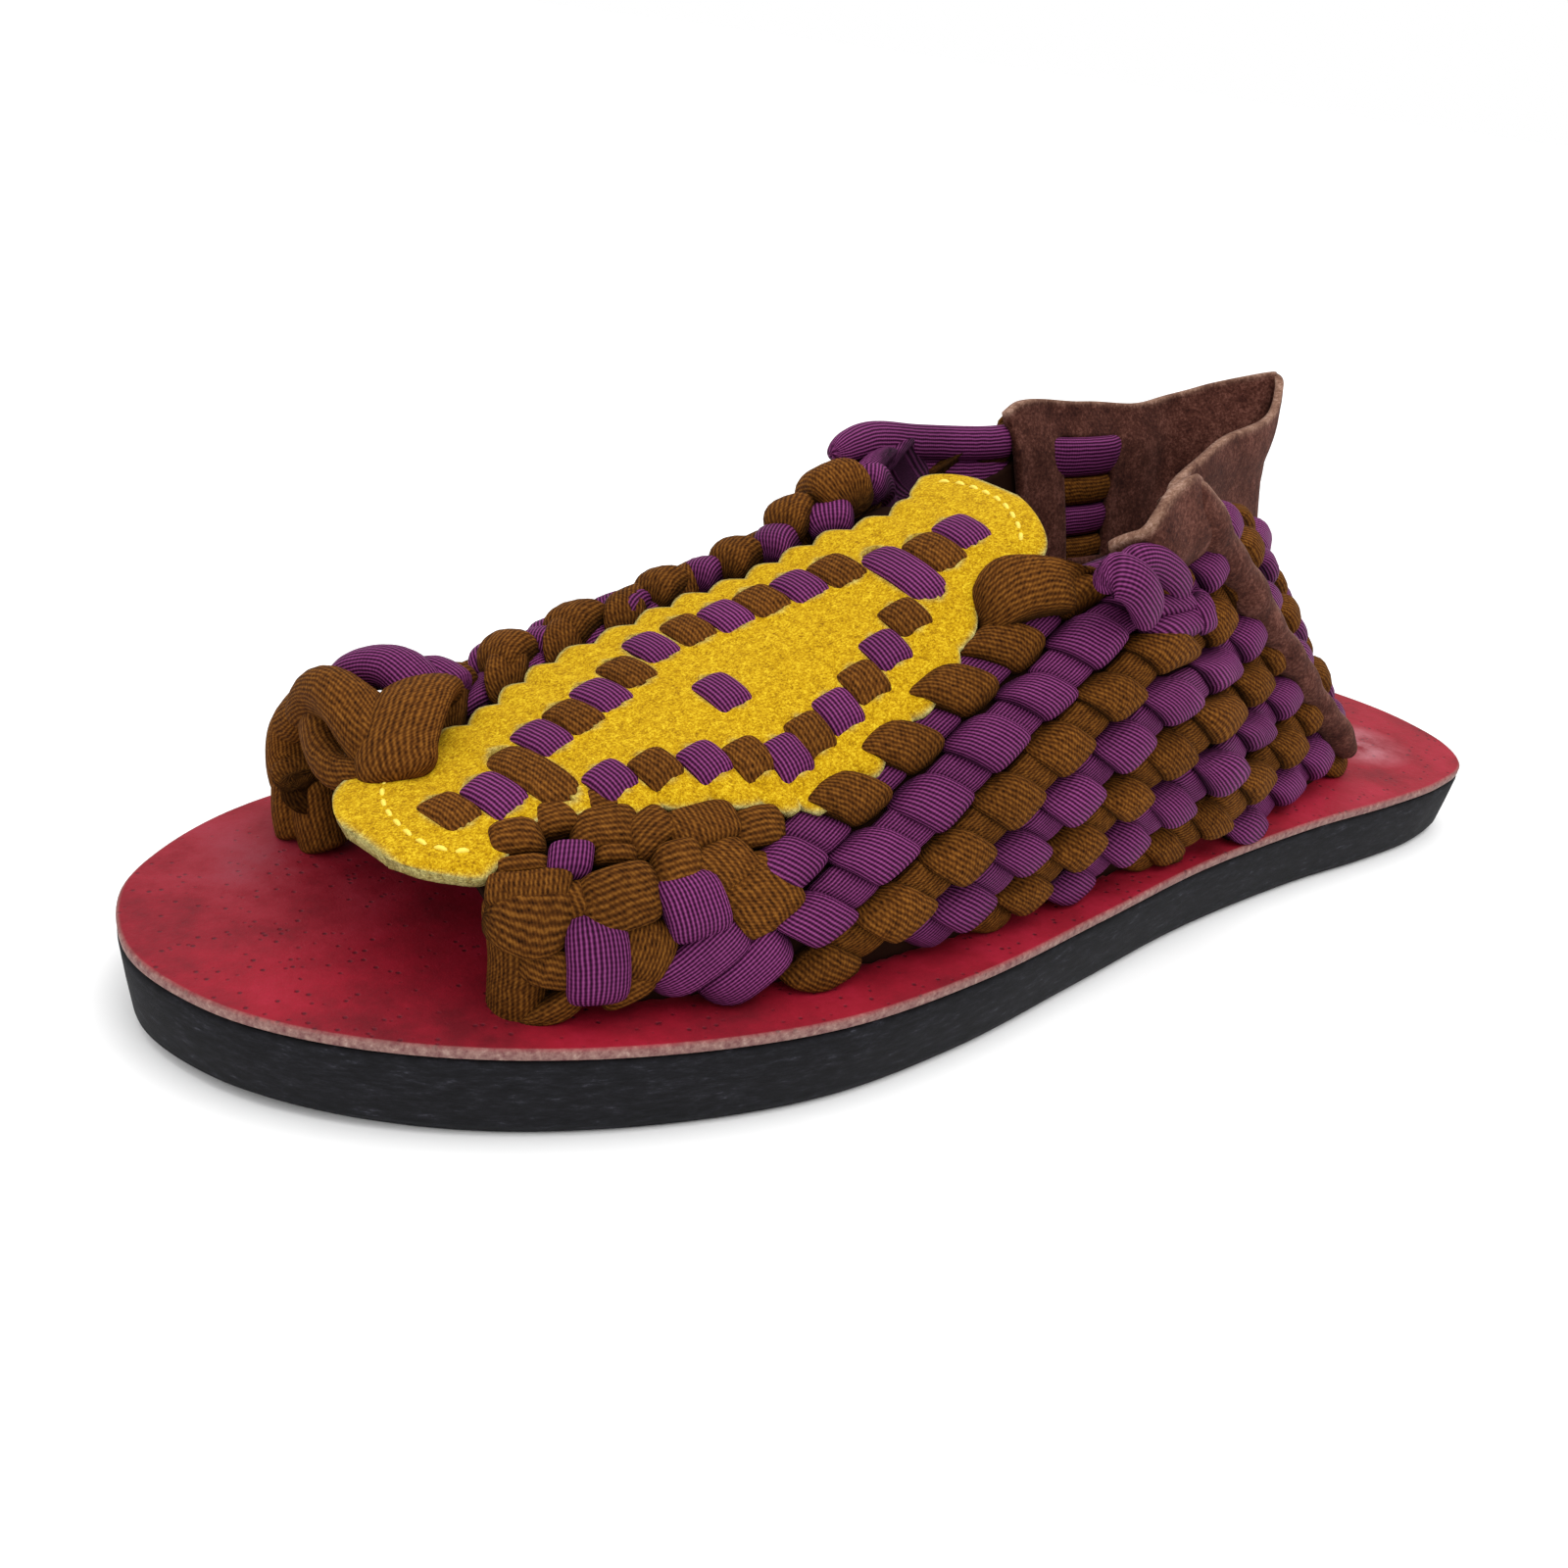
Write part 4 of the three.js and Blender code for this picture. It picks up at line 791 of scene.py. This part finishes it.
def leafSurface():
    # Rows run across the foot: eight to a strip, of which three follow the lips and the middle of
    # its windows, where a lip is windowHalf * (1 - d^2)^0.5 strips from the middle line at the
    # share d of the window's half length, and the faces between two lips are left out
    share = np.linspace(0, 1, leaf["columns"])[None, :]
    tab = np.linspace(leaf["front"], 0.4, leaf["tabRows"])
    tongue = np.linspace(leaf["bodyStrips"] + 0.5, leaf["rear"], leaf["tongueRows"])
    strips = np.repeat(np.arange(1, leaf["bodyStrips"] + 1), 8)
    kinds = np.tile([-4, -3, -2, -1, 0, 1, 2, 3], leaf["bodyStrips"])
    rowShift = np.array([-0.5, -0.46, -0.4, -0.3, 0, 0.3, 0.4, 0.46])[kinds + 4]
    nominal = (strips + rowShift)[:, None] + 0 * share
    inner, outer = leafEdges(nominal)
    arc = inner + (outer - inner) * share
    opening = np.zeros_like(nominal)
    for strip, middle, reach in windows:
        away = np.abs(arc - middle) / reach
        opening = np.maximum(opening, (strips[:, None] == strip) * np.maximum(1 - away**2, 0) ** 0.5)
    lip = np.maximum(leaf["windowHalf"] * opening, leaf["slitEnd"])
    kind = kinds[:, None]
    lipShare = np.array([0, 0.33, 0.66, 1, 0, 1, 0.66, 0.33])[kind + 4]
    offset = np.sign(kind) * (0.5 + (lip - 0.5) * lipShare)
    strip = np.concatenate([tab[:, None] + 0 * share, strips[:, None] + offset, tongue[:, None] + 0 * share])
    opened = np.zeros_like(strip)
    opened[len(tab):len(tab) + len(strips)] = opening * (np.abs(kind) <= 1)
    inner, outer = leafEdges(strip)
    arc = inner + (outer - inner) * share
    hole = (opened[:-1] > 0) & (opened[1:] > 0)
    hole = hole[:, :-1] & hole[:, 1:]
    endGap = np.minimum(strip - leaf["front"], leaf["rear"] - strip) * leaf["pitch"] + 0.02
    edgeGap = np.minimum(np.minimum(arc - inner, outer - arc), endGap)
    lipGap = np.full_like(arc, 99.0)
    for middleStrip, middle, reach in windows:
        d = (arc - middle) / reach
        lips = leaf["windowHalf"] * np.maximum(1 - d**2, 0) ** 0.5
        along = np.maximum(np.abs(strip - middleStrip) - lips, 0) * leaf["pitch"]
        lipGap = np.minimum(lipGap, np.hypot(along, np.maximum(np.abs(d) - 1, 0) * reach))
    rim = np.maximum(np.exp(-(edgeGap / leaf["rawEdge"]) ** 2),
                     leaf["rawLipShare"] * np.exp(-(lipGap / leaf["rawLip"]) ** 2))
    swell = leaf["puff"] * np.cos(2 * np.pi * strip) * (0.35 + np.exp(-edgeGap / 7))
    swell = swell * smoothStep(strip, 0.3, 1) * (1 - smoothStep(strip, 16.2, 17))
    height = (leaf["level"] + swell + leaf["lipRise"] * np.exp(-(lipGap / leaf["lipReach"]) ** 2)
              - leaf["edgeDrop"] * np.exp(-(edgeGap / leaf["edgeReach"]) ** 2))
    return wallPoints(leafX(strip, arc), arc, height, instepTables), ~hole, rim


leafPoints, leafKeep, leafRim = leafSurface()
hangOn(sheet("suede_leaf", leafPoints, leaf["thickness"], yellowSuede, leafRim, leafKeep),
       "vamp_panel")

# Strips in the windows: odd strips are brown, even ones purple; both ends go under the leaf
windowBlocks = {"purple": [], "brown": []}
for strip, middle, reach in windows:
    half = reach + windowStrip["tuck"]
    slope = (leafX(strip, middle + 10) - leafX(strip, middle)) / 10
    windowBlocks["brown" if strip % 2 else "purple"].append(
        (leafX(strip, middle), middle, slope * half, half, windowStrip["halfWidth"] * leaf["pitch"], 0.0,
         windowStrip["rise"], windowStrip["thick"], windowStrip["dip"]))
for colour, material in knits.items():
    hangOn(knitBlocks(f"{colour}_window_strips", windowBlocks[colour], material, tables=instepTables))


def stitchRow(strips):
    # Running stitch a fixed way inside the edge of one end tab: the tab's outline in x and arc is
    # moved inward and stitches are set along it at even steps
    inner, outer = leafEdges(strips)
    outlineX, outlineArc = np.r_[leafX(strips), leafX(strips)[::-1]], np.r_[outer, inner[::-1]]
    walked = np.r_[0, np.cumsum(np.hypot(np.diff(outlineX), np.diff(outlineArc)))]
    at = np.arange(0, walked[-1], 0.8)
    line = np.stack([np.interp(at, walked, outlineX), np.interp(at, walked, outlineArc)], -1)
    smooth = np.array([line[max(i - 5, 0):i + 6].mean(axis=0) for i in range(len(line))])
    ahead = unit(np.gradient(smooth, axis=0))
    inwardWay = np.stack([-ahead[:, 1], ahead[:, 0]], -1)
    middle = np.array([leafX(strips).mean(), 10.0])
    inwardWay *= np.sign(((middle - smooth) * inwardWay).sum(axis=1, keepdims=True))
    moved = smooth + inwardWay * stitch["inset"]
    distance = np.r_[0, np.cumsum(np.linalg.norm(np.diff(moved, axis=0), axis=1))]
    spots = np.arange(2, distance[-1] - 2, stitch["pitch"])
    centre = np.stack([np.interp(spots, distance, moved[:, k]) for k in (0, 1)], -1)
    way = unit(np.stack([np.interp(spots, distance, ahead[:, k]) for k in (0, 1)], -1))
    return [(*c, *(w * stitch["half"]), -w[1] * stitch["thread"], w[0] * stitch["thread"], stitch["rise"],
             stitch["thread"], stitch["dip"]) for c, w in zip(centre, way)]


stitches = stitchRow(np.linspace(0.8, leaf["front"], 30)) + stitchRow(np.linspace(16.9, leaf["rear"], 30))
hangOn(knitBlocks("leaf_stitches", stitches, thread, stitchGrid, instepTables), "vamp_panel")
print("leaf made")

# Slack suede lining of the quarters and the heel
lining = {"from": -0.4, "to": 11.15, "inset": 5.6, "thickness": 1.8, "slot": (9.6, 10.45),
          "slotShare": (0.48, 0.895), "flare": 2.4, "lean": 7.0, "fall": 7.0, "fallAt": 3.3, "height": 68,
          "rows": 300, "columns": 70, "front": -11.0, "ripple": 0.5}
liningRim = [
    # place round the heel, share added to the rim
    (-0.5, 0.03), (0, 0.11), (0.6, 0.15), (1.32, 0.135), (1.7, 0.08), (2.2, 0.04), (3.1, 0.02), (4, 0.02),
    (5, 0.06), (6, 0.05), (7, 0.03), (8.5, 0), (10, 0), (10.9, 0.01), (11.2, -0.02),
]
liningCreases = [
    # place, share, half width in places, half height in shares, slant in places a share, depth in mm
    (1.6, 0.75, 0.35, 0.35, 0.6, 1.6), (3.3, 0.6, 0.28, 0.5, 0.8, 2.4), (4.6, 0.55, 0.4, 0.4, -0.5, -2.2),
    (5.6, 0.7, 0.35, 0.3, 0.3, 1.8), (6.7, 0.8, 0.3, 0.3, 0, 2.2), (7.6, 0.5, 0.4, 0.4, 0.8, -1.8),
    (8.7, 0.75, 0.3, 0.35, -0.6, 1.5), (9.5, 0.4, 0.3, 0.3, 0.6, 1.2),
]
places, shares = np.meshgrid(np.linspace(lining["from"], lining["to"], lining["rows"]),
                             np.linspace(0, 1, lining["columns"]), indexing="ij")
reachUp = shares * (1 + readColumn(liningRim, 1, places))
base = ribPoints(np.clip(places, 0, lastRib), reachUp)
base[..., 0] += np.minimum(places, 0) * lining["front"]
outwardWay = unit(np.cross(np.gradient(base, axis=0), np.gradient(base, axis=1)))
# The rim flares out, leans over the weave at the outer side and falls inward behind the fold
push = -lining["inset"] + lining["flare"] * smoothStep(reachUp, 0.84, 1.0)
push += (lining["lean"] * smoothStep(reachUp, 0.8, 1.0) * smoothStep(places, -0.5, 0.1)
         * (1 - smoothStep(places, 1.5, 2.2)))
push -= lining["fall"] * smoothStep(reachUp, 0.45, 1.0) * np.exp(-(places - lining["fallAt"]) ** 2)
for at, up, wide, tall, slant, depth in liningCreases:
    away = ((places - at - slant * (reachUp - up)) / wide) ** 2 + ((reachUp - up) / tall) ** 2
    push += depth * np.exp(-away)
push += lining["ripple"] * np.sin(5.1 * places + 2.0 * reachUp) * np.sin(2.3 * places - 7 * reachUp)
base += outwardWay * push[..., None]
liningRaw = np.exp(-((1 - shares) * lining["height"]) ** 2)
slotHole = ((places > lining["slot"][0]) & (places < lining["slot"][1])
            & (reachUp > lining["slotShare"][0]) & (reachUp < lining["slotShare"][1]))
outsideSlot = ~(slotHole[:-1, :-1] & slotHole[1:, 1:])
hangOn(sheet("suede_lining", base, lining["thickness"], brownSuede, liningRaw, outsideSlot),
       "heel_panel")

# Fold of the lining that stands out through the weave, from the rim down to the heel's corner
fold = {"place": (1.24, 2.5), "share": (1.11, 0.04), "width": 3.0, "topWidth": 4.6, "height": 3.4,
        "level": 3.0, "rings": 110, "around": 28, "rawAt": 2.3, "rawWidth": 0.5, "raw": 0.85}
downShare = np.linspace(0, 1, fold["rings"])[:, None]
angle = np.linspace(0, 2 * np.pi, fold["around"], endpoint=False)[None, :]
foldPlace, foldShare = [first + (last - first) * downShare for first, last in (fold["place"], fold["share"])]
spine = ribPoints(foldPlace, foldShare)[:, 0]
nearby = ribPoints(foldPlace + 0.05, foldShare)[:, 0]
down = unit(np.gradient(spine, axis=0))
standing = unit(np.cross(nearby - spine, -down))
aside = np.cross(down, standing)
closing = np.maximum(1 - np.abs(2 * downShare - 1) ** 14, 0) ** 0.5
closing = closing * (1 + 0.08 * np.sin(23 * downShare) + 0.05 * np.sin(57 * downShare + 1))
foldWidth = fold["width"] + (fold["topWidth"] - fold["width"]) * (1 - downShare) ** 2
ring = (spine[:, None] + aside[:, None] * (foldWidth * closing * np.cos(angle))[..., None]
        + standing[:, None] * (fold["level"] + fold["height"] * closing * np.sin(angle))[..., None])
foldRaw = np.exp(-((angle - fold["rawAt"]) / fold["rawWidth"]) ** 2) * fold["raw"] + 0 * downShare
foldFaces = gridFaces(fold["rings"], fold["around"], closeColumns=True)
hangOn(makeObject("suede_fold", ring.reshape(-1, 3), foldFaces, brownSuede, rim=foldRaw.ravel(), poles=True),
       "heel_panel")
print("lining made")

# Free tubes: the strap at the inner side of the toe, and the pair along the inner collar
freeTubes = [
    # name, path, half width and half thickness, colour, facing, folds
    ("strap_foot_front", [(254.5, -29, 15.6), (254.8, -31, 20), (254.2, -33, 26)],
     (4.4, 3.8), "brown", (1, -0.3, 0), (0.06, 2, 1)),
    ("strap_foot_rear", [(252.5, -23.5, 15.6), (253.2, -25.5, 20), (253.2, -29, 26)],
     (4.8, 4), "brown", (1, 0.2, 0), (0.06, 2, 1)),
    ("strap_side", [(254, -31, 22), (253, -35, 28), (252, -35, 34), (251.5, -30, 39.5)],
     (6.2, 4.4), "brown", (1, -1, 0.4), (0.08, 2, 2)),
    ("strap_top", [(252.5, -33, 36), (252, -26, 41.5), (251.5, -18, 43), (251, -10, 41.5), (250, -4, 39)],
     (5.4, 4.4), "brown", (0, 0, 1), (0.12, 2, 3)),
    ("strap_droop", [(253.5, -26, 39), (255.5, -19, 36), (256, -11, 35.6), (254, -4, 38)],
     (3.4, 3.2), "brown", (0, 0, 1), (0.12, 2, 3)),
    ("strap_end", [(237, -19, 41), (242, -14, 45), (247, -8, 45), (251, -3, 41.5), (252, 1, 38)],
     (6.4, 3.2), "brown", (0.6, 0.2, 1), (0.03, 3, 0.5)),
    ("strap_loop", [(247.5, -31, 38), (245.5, -29, 43.5), (242, -23, 46), (239, -16, 43.5)],
     (4.6, 3.6), "purple", (0.3, -0.6, 1), (0.03, 3, 0.5)),
    ("strap_knot", [(238, -27, 41), (236, -22, 44.5), (233.5, -16, 43.5)],
     (3.8, 3.2), "purple", (0.3, -0.6, 1), (0.03, 3, 0.5)),
    ("collar_knot", [(149.3, 38, 71.9), (149.2, 40, 73.5), (146.3, 41.5, 72.4), (142.1, 41, 69.2),
                     (136.1, 38, 64.5)],
     (3.8, 2.8), "purple", (0, 1, 0.3), (0.04, 3, 0.6)),
    ("collar_tail", [(142.9, 36, 72.3), (142.2, 37.5, 74.5), (137.2, 37.5, 74.1), (130.8, 37, 71),
                     (123.6, 34.5, 66.2)],
     (2.8, 2.4), "purple", (0, 1, 0.3), (0.04, 3, 0.6)),
    ("toe_roll", wallPoints(np.array(249), np.array([54, 48, 42, 36, 29, 23]), np.array(-3.2)),
     (4.8, 4.4), "brown", (1, 0, 0), (0.04, 3, 1)),
    ("inner_collar_upper", [(155, -26, 76), (142, -30.5, 77), (128, -32.5, 75.5), (112, -33, 74.5),
                            (102, -35, 74), (94, -38.5, 73.5)],
     (3.4, 2.9), "purple", (0, 1, 0.3), (0.05, 3, 0.6)),
    ("inner_collar_lower", [(155, -28, 69), (142, -32, 70.5), (128, -33, 69.5), (112, -33.5, 68.5),
                            (102, -35.5, 68), (94, -38.5, 67.5)],
     (3.4, 2.9), "purple", (0, 1, 0.3), (0.05, 3, 1)),
]
# Strips in the lining's slot: name, sides at its four bends, level, half width and half thickness,
# colour, folds
for label, bends, level, size, colour, folds in (
        ("purple", (-36, -32.6, -32.8, -36.5), 70.5, (4.2, 2.8), "purple", (0.07, 3, 0.6)),
        ("brown", (-36, -32.6, -32.8, -36.5), 63.2, (3.2, 2.6), "brown", (0.05, 3, 1)),
        ("purple_low", (-35, -32, -32.4, -36), 56.5, (3.3, 2.6), "purple", (0.07, 3, 1)),
        ("brown_low", (-34, -31.4, -32, -35.5), 50, (2.9, 2.4), "brown", (0.05, 3, 1))):
    path = [(x, y, level) for x, y in zip((92, 84, 72, 64), bends)]
    freeTubes.append((f"slot_strip_{label}", path, size, colour, (0, 1, 0), folds))
for name, path, size, colour, facing, folds in freeTubes:
    hangOn(tube(name, path, size, knits[colour], facing, folds))
print("tubes made")

# Camera, floor and light

camera = {"position": (354.6, 204.2, 145.5), "target": (171.15, -7.52, 20.0), "roll": 7.96, "focal": 1704.43,
          "photo": 1600, "sensor": 36}
position, target = toScene(camera["position"]), toScene(camera["target"])
back = unit(position - target)
right = unit(np.cross(-back, [0, 0, 1]))
upward = np.cross(right, -back)
roll = math.radians(camera["roll"])
right, upward = (math.cos(roll) * right + math.sin(roll) * upward,
                 math.cos(roll) * upward - math.sin(roll) * right)
cameraData = bpy.data.cameras.new("camera")
cameraData.sensor_width = camera["sensor"]
cameraData.lens = camera["focal"] * camera["sensor"] / camera["photo"]
cameraObject = bpy.data.objects.new("camera", cameraData)
axes = np.stack([right, upward, back, position], -1)
cameraObject.matrix_world = Matrix([*axes.tolist(), [0, 0, 0, 1]])
bpy.context.collection.objects.link(cameraObject)
bpy.context.scene.camera = cameraObject

floorMaterial, floorShader = newMaterial("pale floor", {"Base Color": (0.98, 0.98, 0.98, 1), "Roughness": 0.9,
                                                        "Specular IOR Level": 0.1})
floorReach = 30000.0
floorCorners = [(a * floorReach, b * floorReach, 0.0) for a, b in ((-1, -1), (1, -1), (1, 1), (-1, 1))]
floor = makeObject("floor", floorCorners, [[0, 1, 2, 3]], floorMaterial)

world = bpy.data.worlds.new("studio")
world.use_nodes = True
# White studio dome: brightest overhead, dimmer towards the sides, with a white band at the horizon
direction = addNode(world, "ShaderNodeTexCoord"), "Generated"
height = addNode(world, "ShaderNodeSeparateXYZ", links={"Vector": direction}), "Z"
dome = remap(world, height, 0.0, 1.0, 0.2, 1.55)
band = remap(world, height, 0.16, 0.3, 1.0, 0.0)
background = world.node_tree.nodes["Background"]
background.inputs["Color"].default_value = (1, 1, 1, 1)
link(world, calculate(world, "MAXIMUM", dome, band), background, "Strength")
bpy.context.scene.world = world
lamps = [
    # name, place in metres, aimed at, size, watts
    ("top light", (-0.1, 0.3, 1.1), (0.0, 0.0, 0.0), 0.9, 5),
    ("front light", (0.9, 0.5, 0.7), (0.0, 0.0, 0.03), 0.7, 2),
]
for name, spot, aim, size, watts in lamps:
    data = bpy.data.lights.new(name, "AREA")
    data.size, data.energy = size, watts
    lamp = bpy.data.objects.new(name, data)
    lamp.location = spot
    lamp.rotation_euler = (Vector(aim) - Vector(spot)).to_track_quat("-Z", "Y").to_euler()
    bpy.context.collection.objects.link(lamp)
bpy.context.scene.view_settings.view_transform = "Standard"
print("camera and light made")
